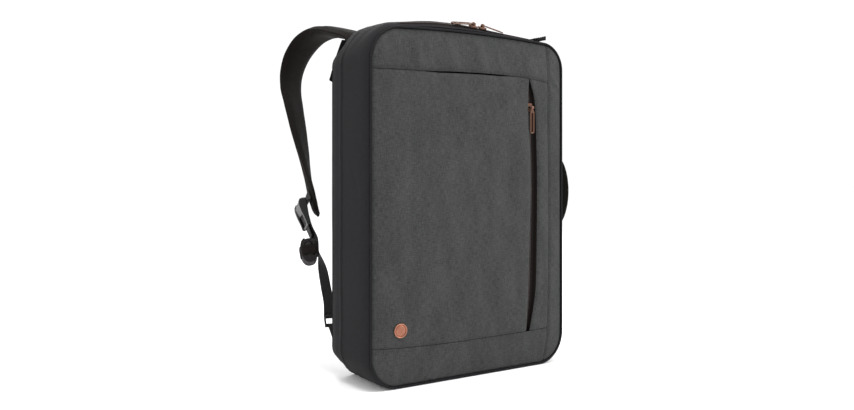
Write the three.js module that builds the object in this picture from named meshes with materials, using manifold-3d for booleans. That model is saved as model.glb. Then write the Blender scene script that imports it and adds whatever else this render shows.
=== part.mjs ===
// Convertible backpack: a slim hollow laptop bag that stands on its flat bottom.
// Two padded shoulder straps arch out of its back and a padded handle sits on its right side.
// Millimetres. +X is to the right seen from the front, +Y to the back, +Z up.
// The origin is the middle of the flat bottom, on the surface that the bag stands on.
import * as THREE from 'three';
import { mergeVertices } from 'three/addons/utils/BufferGeometryUtils.js';
import Module from 'manifold-3d';

const wasm = await Module();
wasm.setup();

const { lerp, degToRad } = THREE.MathUtils;
const vec = (x, y, z) => new THREE.Vector3(x, y, z);

// Body: the front panel between its seams, and the gusset that swells out past them
const panelWidth = 312;
const panelHeight = 442;
const panelCorner = 38;
const bodyDepth = 99;
const sideSwell = 6;
const topSwell = 17;
const bottomSwell = 3.5;
const topCrown = 3.2;
const cornerTuck = 7;
const frontSwell = 9;
const backSwell = 8;
const clothWall = 2;
const backPadding = 6;
const pipingRadius = 1.5;
const clearance = 0.3;

// Zips
const zipWidth = 10;
const zipSetback = 9.5;
const zipSpan = 224;
const coilWidth = 3;
const coilHeight = 1.2;
const coilSlope = 0.4;
const tapeThickness = 1.3;
const frontZipDepth = 4.5;
const frontZipWidth = 26;
const sliderLength = 11;
const sliderWidth = 8.4;
const sliderHeight = 2.4;
const pullLength = 36;
const pullWidth = 7.4;
const pullThickness = 1.6;
const hingeBarRadius = 0.9;
const postWidth = 1.1;
const postLength = 3;
const pullEyeRadius = 2;
const pullNeck = 4;

// Copper rivet on the front
const rivetRadius = 9;
const rivetHeight = 2.4;
const rivetPlace = { across: -0.765, up: 0.157 };

// Shoulder straps, their webbing and hardware
const strapWidth = 58;
const strapPadding = 12;
const strapReach = 135;
const webbingWidth = 24;
const webbingThickness = 1.5;
const buckleHeight = 38;
const buckleThickness = 4.4;
const buckleRail = 4.6;
const rollHeight = 35;
const rollThickness = 19;
const loopBarRadius = 1.6;
const loopHeight = 13;
const webbingSlack = 1.8;
const seatGap = 0.9;
const rollGap = 5;
const rollSeat = 1.35;
const flapDrop = 57;
const flapLift = 14;
const footGap = 0.6;

// Carry handle
const handleSpan = 130;
const handleReach = 49;
const handleWidth = 30;
const handleThickness = 13;
const handlePatch = 34;
const patchThickness = 1.8;
const handleHeight = 240;
const handleSetback = 0.495 * bodyDepth;
const endTabLength = 21;
const endTabWidth = 17;
const endTabRise = 5.5;

const halfWidth = panelWidth / 2;
const halfHeight = panelHeight / 2;
const panelTop = bottomSwell + panelHeight;
const panelMiddle = bottomSwell + halfHeight;
const frontSeam = -bodyDepth / 2;
const backSeam = bodyDepth / 2;
const edgeOffset = clothWall + clearance;
const bandRest = pipingRadius + clearance;

// How far the gusset has swelled out at each share of the depth, as shares of the swells.
// tuck: how far its corners are drawn in, as a share of the corner tuck
const depthProfile = [
  { depth: 0.000, side: 0.00, top: 0.00, bottom: 0.0, tuck: 0.0 },
  { depth: 0.040, side: 0.42, top: 0.35, bottom: 0.6, tuck: 0.0 },
  { depth: 0.100, side: 0.72, top: 0.66, bottom: 1.0, tuck: 0.0 },
  { depth: 0.200, side: 0.93, top: 0.90, bottom: 1.0, tuck: 0.1 },
  { depth: 0.430, side: 1.00, top: 1.00, bottom: 1.0, tuck: 0.3 },
  { depth: 0.630, side: 0.96, top: 1.00, bottom: 1.0, tuck: 0.5 },
  { depth: 0.667, side: 1.16, top: 1.03, bottom: 1.0, tuck: 0.5 },
  { depth: 0.705, side: 0.96, top: 1.00, bottom: 1.0, tuck: 0.6 },
  { depth: 0.820, side: 0.78, top: 1.00, bottom: 1.0, tuck: 0.8 },
  { depth: 0.910, side: 0.28, top: 0.88, bottom: 1.0, tuck: 0.9 },
  { depth: 0.960, side: -0.28, top: 0.64, bottom: 0.6, tuck: 1.0 },
  { depth: 1.000, side: -0.72, top: 0.40, bottom: 0.0, tuck: 1.0 },
];
const ridgeShare = 0.667;

// The top stands full at the left and sinks to the right: share of the top swell
const topSag = [
  { across: -1.00, rise: 0.45 },
  { across: -0.80, rise: 0.59 },
  { across: -0.62, rise: 0.75 },
  { across: -0.45, rise: 0.91 },
  { across: -0.30, rise: 0.98 },
  { across: -0.14, rise: 0.97 },
  { across: 0.03, rise: 0.85 },
  { across: 0.21, rise: 0.68 },
  { across: 0.36, rise: 0.55 },
  { across: 0.54, rise: 0.45 },
  { across: 0.80, rise: 0.33 },
  { across: 1.00, rise: 0.28 },
];

// Corner radii of the front panel, as shares of the panel corner
const corners = [
  { name: 'bottomRight', share: 1.05, from: -90 },
  { name: 'topRight', share: 0.90, from: 0 },
  { name: 'topLeft', share: 1.08, from: 90 },
  { name: 'bottomLeft', share: 0.97, from: 180 },
];

// Seams of the front panel, as shares of its half width and of its height
const topSeamLine = [
  { across: -1.00, up: 0.883 },
  { across: -0.54, up: 0.885 },
  { across: -0.18, up: 0.890 },
  { across: 0.13, up: 0.892 },
  { across: 0.44, up: 0.891 },
  { across: 0.83, up: 0.879 },
];
const bottomSeamLine = [
  { across: -1.00, up: 0.110 },
  { across: -0.64, up: 0.106 },
  { across: -0.19, up: 0.103 },
  { across: 0.24, up: 0.104 },
  { across: 0.83, up: 0.106 },
];
const sideSeamLine = [
  { up: 0.000, across: 0.788 },
  { up: 0.106, across: 0.818 },
  { up: 0.324, across: 0.827 },
  { up: 0.546, across: 0.831 },
  { up: 0.747, across: 0.818 },
  { up: 0.879, across: 0.826 },
  { up: 1.000, across: 0.822 },
];

// The front zip's mouth, which gapes between the pocket panel and the placket
const gape = [
  { up: 0.104, left: 0.560, right: 0.600 },
  { up: 0.263, left: 0.578, right: 0.671 },
  { up: 0.384, left: 0.590, right: 0.677 },
  { up: 0.550, left: 0.604, right: 0.684 },
  { up: 0.710, left: 0.592, right: 0.672 },
  { up: 0.812, left: 0.575, right: 0.658 },
  { up: 0.884, left: 0.595, right: 0.602 },
];
const frontZipShare = 0.30;
const frontSliderUp = 0.798;
const frontZipStart = gape[0].up;
const frontZipEnd = gape[gape.length - 1].up;

// The slip pocket's mouth under the top band: opening as a share of the cloth wall
const slipMouth = [
  { across: -1.00, open: 0.0 },
  { across: -0.56, open: 0.0 },
  { across: -0.36, open: 0.8 },
  { across: 0.20, open: 0.8 },
  { across: 0.46, open: 0.0 },
  { across: 1.00, open: 0.0 },
];

// Left shoulder strap from the back of the top to its tip, above the flap.
// out: share of the half width, back: share of the reach, up: share of the body's height,
// turn: degrees that its width has turned from across to fore and aft
const strapRows = [
  { out: 0.590, back: 0.172, up: 0.984, turn: 0, wide: 0.86, thick: 0.62 },
  { out: 0.622, back: 0.259, up: 1.016, turn: 2, wide: 0.92, thick: 0.92 },
  { out: 0.667, back: 0.415, up: 1.032, turn: 5, wide: 1.00, thick: 1.14 },
  { out: 0.718, back: 0.607, up: 1.045, turn: 9, wide: 1.00, thick: 1.20 },
  { out: 0.778, back: 0.765, up: 1.042, turn: 14, wide: 1.00, thick: 1.20 },
  { out: 0.840, back: 0.905, up: 1.018, turn: 20, wide: 1.00, thick: 1.14 },
  { out: 0.898, back: 1.010, up: 0.972, turn: 26, wide: 0.99, thick: 1.08 },
  { out: 0.935, back: 1.050, up: 0.918, turn: 31, wide: 0.97, thick: 1.02 },
  { out: 0.952, back: 1.020, up: 0.864, turn: 34, wide: 0.94, thick: 1.00 },
  { out: 0.962, back: 0.925, up: 0.806, turn: 37, wide: 0.90, thick: 0.96 },
  { out: 0.969, back: 0.815, up: 0.741, turn: 39, wide: 0.84, thick: 0.92 },
  { out: 0.971, back: 0.718, up: 0.676, turn: 45, wide: 0.78, thick: 0.88 },
  { out: 0.972, back: 0.622, up: 0.609, turn: 57, wide: 0.72, thick: 0.84 },
  { out: 0.972, back: 0.526, up: 0.545, turn: 69, wide: 0.66, thick: 0.76 },
  { out: 0.970, back: 0.452, up: 0.502, turn: 75, wide: 0.56, thick: 0.62 },
  { out: 0.968, back: 0.366, up: 0.474, turn: 75, wide: 0.22, thick: 0.40 },
];

// Webbing under the left buckle, in the same shares, and what hangs on it.
// lean: degrees that a piece's top leans back
const webbingRows = [
  { out: 1.006, back: 0.352, up: 0.398, turn: 74 },
  { out: 0.988, back: 0.308, up: 0.358, turn: 62 },
  { out: 0.972, back: 0.266, up: 0.310, turn: 38 },
  { out: 0.958, back: 0.230, up: 0.258, turn: 30 },
  { out: 0.946, back: 0.203, up: 0.213, turn: 31 },
];
const bucklePlace = { out: 1.065, back: 0.448, up: 0.472, turn: 76, lean: 21 };
const bundlePlace = { out: 0.998, back: 0.290, up: 0.366, turn: 68, lean: 22 };
const loopPlace = { out: 0.940, back: 0.167, up: 0.156, turn: 34, lean: 14 };
const tabFoot = [
  { out: 0.900, up: 0.102 },
  { out: 0.900, up: 0.073 },
];

// Strap's foot on the flap: shares of the flap's drop, from its lower end up
const strapFootShares = [0.62, 0.36];
const strapFootThickness = 0.5 * strapPadding;
const strapFootWidth = 0.82 * strapWidth;

// Folds of webbing round a bar, in degrees from where they start: 0 is out from the bag, 90 is up
const folds = {
  buckle: { from: 60, to: -170, steps: 8 },
  middleBar: { from: -20, to: 200, steps: 8 },
  loop: { from: 30, to: -210, steps: 8 },
  tab: { from: -30, to: 190, steps: 7 },
};

// Where the buckle's fold is sewn to the strap, as shares between two of the strap's rows
const foldLanding = [0.25, 0.75];

// Bundle of spare webbing: share of its thickness along its height
const bundleRows = [
  { along: -0.50, thick: 0.55 },
  { along: -0.42, thick: 0.90 },
  { along: 0.00, thick: 1.00 },
  { along: 0.42, thick: 0.90 },
  { along: 0.50, thick: 0.55 },
];

// Rivet from its rim's foot to its middle: shares of its radius and of its height
const rivetProfile = [
  { out: 0.00, rise: 0.00 },
  { out: 1.00, rise: 0.00 },
  { out: 1.00, rise: 0.45 },
  { out: 0.93, rise: 0.75 },
  { out: 0.84, rise: 0.72 },
  { out: 0.78, rise: 0.55 },
  { out: 0.60, rise: 0.82 },
  { out: 0.30, rise: 0.97 },
  { out: 0.00, rise: 1.00 },
];

// Carry handle: share of its thickness and width along the arch
const handleRows = [
  { along: 0.00, thick: 0.45, wide: 0.86 },
  { along: 0.14, thick: 0.70, wide: 0.90 },
  { along: 0.28, thick: 1.00, wide: 1.00 },
  { along: 0.72, thick: 1.00, wide: 1.00 },
  { along: 0.86, thick: 0.70, wide: 0.90 },
  { along: 1.00, thick: 0.45, wide: 0.86 },
];

// Mesh steps
const cornerSteps = 5;
const bottomSteps = 6;
const sideSteps = 6;
const topSteps = 10;

// Reads a column of a table between its rows
function readTable(table, key, column, at) {
  if (at <= table[0][key]) {
    return table[0][column];
  }
  for (let i = 1; i < table.length; i += 1) {
    const low = table[i - 1];
    const high = table[i];
    if (at <= high[key]) {
      return lerp(low[column], high[column], (at - low[key]) / (high[key] - low[key]));
    }
  }
  return table[table.length - 1][column];
}

// A closed geometry from points and triangles, with its faces turned outwards
function closedGeometry(points, faces) {
  let volume = 0;
  for (let i = 0; i < faces.length; i += 3) {
    const [a, b, c] = [points[faces[i]], points[faces[i + 1]], points[faces[i + 2]]];
    volume += a.dot(vec(0, 0, 0).crossVectors(b, c));
  }
  const geometry = new THREE.BufferGeometry();
  const numbers = points.flatMap((p) => [p.x, p.y, p.z]);
  geometry.setAttribute('position', new THREE.Float32BufferAttribute(numbers, 3));
  geometry.setIndex(volume > 0 ? faces : [...faces].reverse());
  return geometry;
}

// A sheet with a wall: two grids of points joined round their edges, or round a ring
function sheetSolid(outer, inner, wrap = false) {
  const rows = outer.length;
  const columns = outer[0].length;
  const points = [...outer.flat(), ...inner.flat()];
  const at = (side, i, j) => (side * rows + i) * columns + (j % columns);
  const faces = [];
  const quad = (a, b, c, d) => faces.push(a, b, c, a, c, d);
  const steps = wrap ? columns : columns - 1;
  const last = rows - 1;
  for (let j = 0; j < steps; j += 1) {
    for (let i = 0; i < last; i += 1) {
      quad(at(0, i, j), at(0, i, j + 1), at(0, i + 1, j + 1), at(0, i + 1, j));
      quad(at(1, i, j), at(1, i + 1, j), at(1, i + 1, j + 1), at(1, i, j + 1));
    }
    quad(at(0, 0, j), at(1, 0, j), at(1, 0, j + 1), at(0, 0, j + 1));
    quad(at(0, last, j), at(0, last, j + 1), at(1, last, j + 1), at(1, last, j));
  }
  for (let i = 0; i < last && !wrap; i += 1) {
    quad(at(0, i, 0), at(0, i + 1, 0), at(1, i + 1, 0), at(1, i, 0));
    quad(at(0, i, steps), at(1, i, steps), at(1, i + 1, steps), at(0, i + 1, steps));
  }
  return closedGeometry(points, faces);
}

// A solid through a row of sections, closed on itself or capped from each end's middle
function loftSolid(sections, closed = false) {
  const count = sections[0].length;
  const points = sections.flat();
  const faces = [];
  const spans = closed ? sections.length : sections.length - 1;
  for (let i = 0; i < spans; i += 1) {
    const next = (i + 1) % sections.length;
    for (let j = 0; j < count; j += 1) {
      const k = (j + 1) % count;
      const [a, b] = [i * count + j, i * count + k];
      const [c, d] = [next * count + k, next * count + j];
      faces.push(a, b, c, a, c, d);
    }
  }
  if (!closed) {
    const ends = [sections[0], sections[sections.length - 1]];
    ends.forEach((ring, side) => {
      const middle = ring.reduce((sum, p) => sum.add(p), vec(0, 0, 0)).divideScalar(count);
      const centre = points.push(middle) - 1;
      const start = side * (sections.length - 1) * count;
      for (let j = 0; j < count; j += 1) {
        const [a, b] = [start + j, start + ((j + 1) % count)];
        faces.push(...(side ? [a, b, centre] : [b, a, centre]));
      }
    });
  }
  return closedGeometry(points, faces);
}

// Joins or cuts closed geometries
function solidOf(geometry) {
  const bare = geometry.clone();
  bare.deleteAttribute('normal');
  bare.deleteAttribute('uv');
  const merged = mergeVertices(bare);
  return new wasm.Manifold(new wasm.Mesh({
    numProp: 3,
    vertProperties: new Float32Array(merged.attributes.position.array),
    triVerts: new Uint32Array(merged.index.array),
  }));
}

function geometryOf(solid) {
  const { vertProperties, triVerts } = solid.getMesh();
  const geometry = new THREE.BufferGeometry();
  geometry.setAttribute('position', new THREE.Float32BufferAttribute(vertProperties, 3));
  geometry.setIndex(Array.from(triVerts));
  return geometry;
}

function joined(geometries) {
  const [first, ...rest] = geometries.map(solidOf);
  return geometryOf(rest.reduce((sum, solid) => sum.add(solid), first));
}

// Points of the front panel's seam, anticlockwise from the bottom left, with normals out
function seamLine() {
  const radius = Object.fromEntries(corners.map((c) => [c.name, c.share * panelCorner]));
  const line = [];
  const edge = (from, to, steps, normal, crown = 0) => {
    for (let i = 0; i < steps; i += 1) {
      const bow = crown * (1 - (2 * i / steps - 1) ** 2);
      line.push({ x: lerp(from[0], to[0], i / steps), z: lerp(from[1], to[1], i / steps) + bow, normal });
    }
  };
  const corner = (name, x, z) => {
    const { from } = corners.find((c) => c.name === name);
    for (let i = 0; i < cornerSteps; i += 1) {
      const angle = degToRad(from + 90 * i / cornerSteps);
      const normal = [Math.cos(angle), Math.sin(angle)];
      line.push({ x: x + radius[name] * normal[0], z: z + radius[name] * normal[1], normal });
    }
  };
  const { bottomLeft, bottomRight, topRight, topLeft } = radius;
  const low = bottomSwell;
  edge([-halfWidth + bottomLeft, low], [halfWidth - bottomRight, low], bottomSteps, [0, -1]);
  corner('bottomRight', halfWidth - bottomRight, low + bottomRight);
  edge([halfWidth, low + bottomRight], [halfWidth, panelTop - topRight], sideSteps, [1, 0]);
  corner('topRight', halfWidth - topRight, panelTop - topRight);
  edge([halfWidth - topRight, panelTop], [-halfWidth + topLeft, panelTop], topSteps, [0, 1], topCrown);
  corner('topLeft', -halfWidth + topLeft, panelTop - topLeft);
  edge([-halfWidth, panelTop - topLeft], [-halfWidth, low + bottomLeft], sideSteps, [-1, 0]);
  corner('bottomLeft', -halfWidth + bottomLeft, low + bottomLeft);
  return line;
}

// The gusset's ring of points at a depth, drawn in by an inset
function ringAt(depth, inset) {
  const share = (column) => readTable(depthProfile, 'depth', column, depth);
  const side = edgeOffset + share('side') * (sideSwell - edgeOffset);
  const bottom = edgeOffset + share('bottom') * (bottomSwell - edgeOffset);
  const y = lerp(frontSeam, backSeam, depth);
  return seamLine().map(({ x, z, normal: [across, up] }) => {
    const rise = readTable(topSag, 'across', 'rise', x / halfWidth);
    const top = edgeOffset + share('top') * rise * (topSwell - edgeOffset);
    const tuck = 4 * (across * up) ** 2 * share('tuck') * cornerTuck;
    const swell = across ** 2 * side + up ** 2 * (up > 0 ? top : bottom) - tuck;
    return vec(x + across * (swell - inset), y, z + up * (swell - inset));
  });
}

// Height of the gusset's top above a place, seen from over it
function topHeight(x, y, inset = 0) {
  const ring = ringAt((y - frontSeam) / bodyDepth, inset).filter((p) => p.z > panelMiddle);
  const upper = ring.sort((a, b) => a.x - b.x).filter((p) => Math.abs(p.x) < halfWidth);
  return readTable(upper, 'x', 'z', x);
}

// The panel's edge from left to right along its top (1) or its bottom (-1)
function edgeTable(side) {
  const half = seamLine().filter((p) => side * (p.z - panelMiddle) > 0);
  const sorted = half.sort((a, b) => a.x - b.x || side * (b.z - a.z));
  return sorted.filter((p, i) => i === 0 || p.x > sorted[i - 1].x);
}
const upperEdge = edgeTable(1);
const lowerEdge = edgeTable(-1);

const panelZ = (share) => bottomSwell + share * panelHeight;
const shareUp = (z) => (z - bottomSwell) / panelHeight;
const edgeTop = (x) => readTable(upperEdge, 'x', 'z', x);
const edgeBottom = (x) => readTable(lowerEdge, 'x', 'z', x);
const topSeam = (x) => panelZ(readTable(topSeamLine, 'across', 'up', x / halfWidth));
const bottomSeam = (x) => panelZ(readTable(bottomSeamLine, 'across', 'up', x / halfWidth));
const sideSeam = (z) => halfWidth * readTable(sideSeamLine, 'up', 'across', shareUp(z));
const gapeLeft = (z) => halfWidth * readTable(gape, 'up', 'left', shareUp(z));
const gapeRight = (z) => halfWidth * readTable(gape, 'up', 'right', shareUp(z));
const frontZipLine = (z) => lerp(gapeLeft(z), gapeRight(z), frontZipShare);
const slipOpening = (x) => clothWall * readTable(slipMouth, 'across', 'open', x / halfWidth);

// How full a padded panel stands at a place, from 0 at its seams to 1 in its middle
function fullness(x, z) {
  const across = Math.min(Math.abs(x) / halfWidth, 1);
  const up = Math.min(Math.abs(z - panelMiddle) / halfHeight, 1);
  return (1 - across ** 5) * (1 - up ** 6);
}
const frontFace = (x, z) => frontSeam - frontSwell * fullness(x, z);
const backFace = (x, z) => backSeam + backSwell * fullness(x, z);

// One piece of the front, between two sides and two seams, drawn in by half a seam's gap.
// columns and rows are shares of the way across and up.
function frontPiece({ left, right, low, high, columns, rows }) {
  const seam = clearance / 2;
  const outer = rows.map((up) => columns.map((across) => {
    let x = lerp(left(panelMiddle) + seam, right(panelMiddle) - seam, across);
    for (let pass = 0; pass < 6; pass += 1) {
      const z = lerp(low(x) + seam, high(x) - seam, up);
      x = lerp(left(z) + seam, right(z) - seam, across);
    }
    const z = lerp(low(x) + seam, high(x) - seam, up);
    return vec(x, frontFace(x, z), z);
  }));
  const inner = outer.map((row) => row.map((p) => vec(p.x, p.y + clothWall, p.z)));
  return sheetSolid(outer, inner);
}

// Shares from 0 to 1, packed towards 0 by a power above 1
const shares = (count, power = 1) => Array.from({ length: count + 1 }, (_, i) => (i / count) ** power);

const cloth = (color) => new THREE.MeshStandardMaterial({ color, roughness: 0.92, metalness: 0 });
const plastic = (color) => new THREE.MeshStandardMaterial({ color, roughness: 0.35, metalness: 0 });
const copper = () => new THREE.MeshStandardMaterial({ color: 0xa8705a, roughness: 0.38, metalness: 0.9 });
const heather = () => cloth(0x4c4e50);
const nylon = () => cloth(0x2c2a2e);
const black = () => cloth(0x1b1b1d);
const strapCloth = () => cloth(0x262321);

function named(name, geometry, material) {
  const mesh = new THREE.Mesh(geometry, material);
  mesh.name = name;
  return mesh;
}

// Front panel: pocket, top band, bottom band, placket and side strip
function frontPanels() {
  const leftSide = () => -halfWidth - clearance / 2;
  const rightSide = () => halfWidth + clearance / 2;
  const [seamLow, seamHigh] = [sideSeamLine[1].up, sideSeamLine[5].up];
  const between = sideSeamLine.slice(1, 6).flatMap(({ up }, i, all) => (
    i === 0 ? [up] : [(all[i - 1].up + up) / 2, up]
  ));
  const pieces = {
    front_pocket: {
      left: leftSide, right: gapeLeft, low: bottomSeam, high: (x) => topSeam(x) - slipOpening(x),
      columns: shares(12, 1.2), rows: shares(12),
    },
    front_top_band: {
      left: leftSide, right: sideSeam, low: topSeam, high: edgeTop,
      columns: shares(14, 1.5), rows: shares(3),
    },
    front_bottom_band: {
      left: leftSide, right: sideSeam, low: edgeBottom, high: bottomSeam,
      columns: shares(14, 1.5), rows: shares(3),
    },
    front_placket: {
      left: gapeRight, right: sideSeam, low: bottomSeam, high: topSeam,
      columns: shares(2), rows: between.map((up) => (up - seamLow) / (seamHigh - seamLow)),
    },
    front_side_strip: {
      left: sideSeam, right: rightSide, low: edgeBottom, high: edgeTop,
      columns: shares(5, 1.7).map((share) => 1 - share).reverse(),
      rows: [0, seamLow / 2, ...between, (1 + seamHigh) / 2, 1],
    },
  };
  return Object.entries(pieces).map(([name, piece]) => named(name, frontPiece(piece), heather()));
}

// Corded piping in the seam between a panel and the gusset
function piping(depth) {
  const edge = ringAt(depth, edgeOffset);
  const out = ringAt(depth, edgeOffset - clearance);
  const sides = 6;
  const sections = edge.map((p, i) => {
    const normal = out[i].clone().sub(p).normalize();
    const centre = p.clone().addScaledVector(normal, clearance + pipingRadius);
    return Array.from({ length: sides }, (_, k) => {
      const angle = 2 * Math.PI * (k + 0.5) / sides;
      const point = centre.clone().addScaledVector(normal, pipingRadius * Math.cos(angle));
      return point.add(vec(0, pipingRadius * Math.sin(angle), 0));
    });
  });
  return loftSolid(sections, true);
}

// A band of the gusset between two depths, with a wall
function gussetBand(from, to) {
  const between = depthProfile.map((row) => row.depth).filter((d) => d > from && d < to);
  const depths = [from, ...between, to];
  return sheetSolid(depths.map((d) => ringAt(d, 0)), depths.map((d) => ringAt(d, clothWall)), true);
}

// The main band is slotted along its top for the main zip
function mainBand() {
  const band = gussetBand(bandRest / bodyDepth, ridgeShare - clearance / 2 / bodyDepth);
  const slot = new THREE.BoxGeometry(zipSpan, zipWidth, panelHeight);
  slot.translate(0, frontSeam + zipSetback, panelTop);
  return geometryOf(solidOf(band).subtract(solidOf(slot)));
}

function backBand() {
  return gussetBand(ridgeShare + clearance / 2 / bodyDepth, 1 - bandRest / bodyDepth);
}

// Main zip: tape with a raised coil, sunk a little into its slot
function mainZip() {
  const half = zipWidth / 2 - clearance;
  const coil = coilWidth / 2;
  const foot = coil + coilSlope;
  const section = [[-half, 0], [-foot, 0], [-coil, coilHeight], [coil, coilHeight], [foot, 0], [half, 0]];
  const length = zipSpan - 2 * clearance;
  const steps = 20;
  const sunk = clothWall / 3;
  const grid = (height) => Array.from({ length: steps + 1 }, (_, i) => {
    const x = lerp(-length / 2, length / 2, i / steps);
    return section.map(([across, up]) => {
      const y = frontSeam + zipSetback + across;
      const sheet = topHeight(x, y) - sunk;
      return vec(x, y, height === null ? sheet - tapeThickness : sheet + up);
    });
  });
  return sheetSolid(grid(0), grid(null));
}

// Front zip: a sunk tape behind the gape, with its coil, seated behind both panels
function frontZip() {
  const half = frontZipWidth / 2;
  const coil = coilWidth / 2;
  const foot = coil + coilSlope;
  const flange = 0.7 * half;
  const wall = flange - clothWall / 2;
  const section = [
    [-half, 0], [-flange, 0], [-wall, 1], [-foot, 1], [-coil, 2],
    [coil, 2], [foot, 1], [wall, 1], [flange, 0], [half, 0],
  ];
  const low = bottomSeam(frontZipLine(panelZ(frontZipStart))) + clearance;
  const high = topSeam(frontZipLine(panelZ(frontZipEnd))) - clearance;
  const steps = 14;
  const faces = [0, tapeThickness].map((back) => Array.from({ length: steps + 1 }, (_, i) => {
    const z = lerp(low, high, i / steps);
    return section.map(([across, step]) => {
      const x = frontZipLine(z) + across;
      const seat = frontFace(x, z) + clothWall + 2 * clearance;
      const sunk = frontFace(frontZipLine(z), z) + clothWall + frontZipDepth;
      const front = [seat, sunk, sunk - coilHeight][step];
      return vec(x, (back && step === 2 ? sunk : front) + back, z);
    });
  }));
  return sheetSolid(faces[0], faces[1]);
}

// A round outline with no doubled point
function roundOutline(Kind, x, y, radius, steps) {
  return new Kind(Array.from({ length: steps }, (_, i) => {
    const angle = 2 * Math.PI * i / steps;
    return new THREE.Vector2(x + radius * Math.cos(angle), y + radius * Math.sin(angle));
  }));
}

// A zip slider in its own frame: the coil runs along Z, its face looks to -Y.
// Its bar carries the pull, lift above the coil.
function sliderSolid(lift) {
  const body = new THREE.Shape();
  const [w, l] = [sliderWidth / 2, sliderLength / 2];
  body.moveTo(-0.7 * w, -l);
  body.lineTo(0.7 * w, -l);
  body.lineTo(w, -0.3 * l);
  body.lineTo(w, 0.7 * l);
  body.lineTo(0.7 * w, l);
  body.lineTo(-0.7 * w, l);
  body.lineTo(-w, 0.7 * l);
  body.lineTo(-w, -0.3 * l);
  const plate = new THREE.ExtrudeGeometry(body, { depth: sliderHeight, bevelEnabled: false });
  plate.rotateX(Math.PI / 2);
  const postAt = pullWidth / 4 + clearance + postWidth / 2;
  const posts = [-1, 1].map((side) => {
    const post = new THREE.BoxGeometry(postWidth, lift + hingeBarRadius - sliderHeight / 2, postLength);
    return post.translate(side * postAt, -(sliderHeight / 2 + lift + hingeBarRadius) / 2, 0);
  });
  const bar = new THREE.CylinderGeometry(hingeBarRadius, hingeBarRadius, 2 * postAt, 8);
  bar.rotateZ(Math.PI / 2).translate(0, -lift, 0);
  return joined([plate, ...posts, bar]);
}

// A zip pull in the slider's frame, hanging to -Z from the bar, with an eye round the bar
function pullSolid() {
  const hole = hingeBarRadius + clearance;
  const neck = pullWidth / 4;
  const eyeShape = roundOutline(THREE.Shape, 0, 0, pullEyeRadius, 12);
  eyeShape.holes.push(roundOutline(THREE.Path, 0, 0, hole, 10));
  const eye = new THREE.ExtrudeGeometry(eyeShape, { depth: 2 * neck, bevelEnabled: false });
  eye.rotateY(Math.PI / 2).translate(-neck, 0, 0);
  const w = pullWidth / 2;
  const start = (hole + pullEyeRadius) / 2;
  const shoulder = 1.5 * pullEyeRadius;
  const end = -pullLength + w;
  const tipSteps = 8;
  const tip = Array.from({ length: tipSteps + 1 }, (_, i) => {
    const angle = -Math.PI * i / tipSteps;
    return new THREE.Vector2(w * Math.cos(angle), end + w * Math.sin(angle));
  });
  const plate = new THREE.Shape([
    new THREE.Vector2(-neck, -start), new THREE.Vector2(neck, -start), new THREE.Vector2(neck, -shoulder),
    new THREE.Vector2(w, -shoulder - pullNeck), ...tip, new THREE.Vector2(-w, -shoulder - pullNeck),
    new THREE.Vector2(-neck, -shoulder),
  ]);
  plate.holes.push(roundOutline(THREE.Path, 0, end, w / 2.4, 10));
  const leaf = new THREE.ExtrudeGeometry(plate, { depth: pullThickness, bevelEnabled: false });
  leaf.rotateX(Math.PI / 2).translate(0, pullThickness / 2, 0);
  return joined([eye, leaf]);
}

// The front zip's slider and its hanging pull, which lies just clear of the pocket's face
function frontSlider() {
  const z = panelZ(frontSliderUp);
  const x = frontZipLine(z);
  const coilTop = frontFace(x, z) + clothWall + frontZipDepth - coilHeight - clearance;
  const pivot = frontFace(x, z) - pullThickness / 2 - 2 * clearance;
  const group = new THREE.Group();
  group.position.set(x, coilTop, z);
  group.add(named('front_slider', sliderSolid(coilTop - pivot), copper()));
  const pull = named('front_pull', pullSolid(), copper());
  pull.position.set(0, pivot - coilTop, 0);
  group.add(pull);
  return group;
}

// The slope of the gusset's top at a place, along X and along Y
function topSlope(x, y, reach) {
  const alongX = topHeight(x + reach, y) - topHeight(x - reach, y);
  const alongY = topHeight(x, y + reach) - topHeight(x, y - reach);
  return [alongX / (2 * reach), alongY / (2 * reach)];
}

// The main zip's two sliders meet a little right of the middle. Their pulls point apart,
// and each droops until its end rests on the coil.
function topSliders() {
  const lift = sliderHeight + pullEyeRadius + clearance;
  const droop = Math.asin((lift - pullThickness / 2 + clearance) / pullLength);
  const places = [
    { side: 'left', at: 0.035, lean: 1 },
    { side: 'right', at: 0.133, lean: -1 },
  ];
  return places.map(({ side, at, lean }) => {
    const x = at * halfWidth;
    const y = frontSeam + zipSetback;
    const [alongX, alongY] = topSlope(x, y, zipWidth / 2);
    const face = vec(-alongX, -alongY, 1).normalize();
    const coilTop = topHeight(x, y) - clothWall / 3 + coilHeight;
    const group = new THREE.Group();
    group.position.set(x, y, coilTop).addScaledVector(face, 2 * clearance);
    const ahead = vec(lean, 0, lean * alongX).normalize();
    const back = face.clone().negate();
    const across = vec(0, 0, 0).crossVectors(back, ahead).normalize();
    group.quaternion.setFromRotationMatrix(new THREE.Matrix4().makeBasis(across, back, ahead));
    group.add(named(`slider_${side}`, sliderSolid(lift), copper()));
    const pull = named(`zip_pull_${side}`, pullSolid(), copper());
    pull.position.set(0, -lift, 0);
    pull.rotation.x = droop;
    group.add(pull);
    return group;
  });
}

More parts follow.
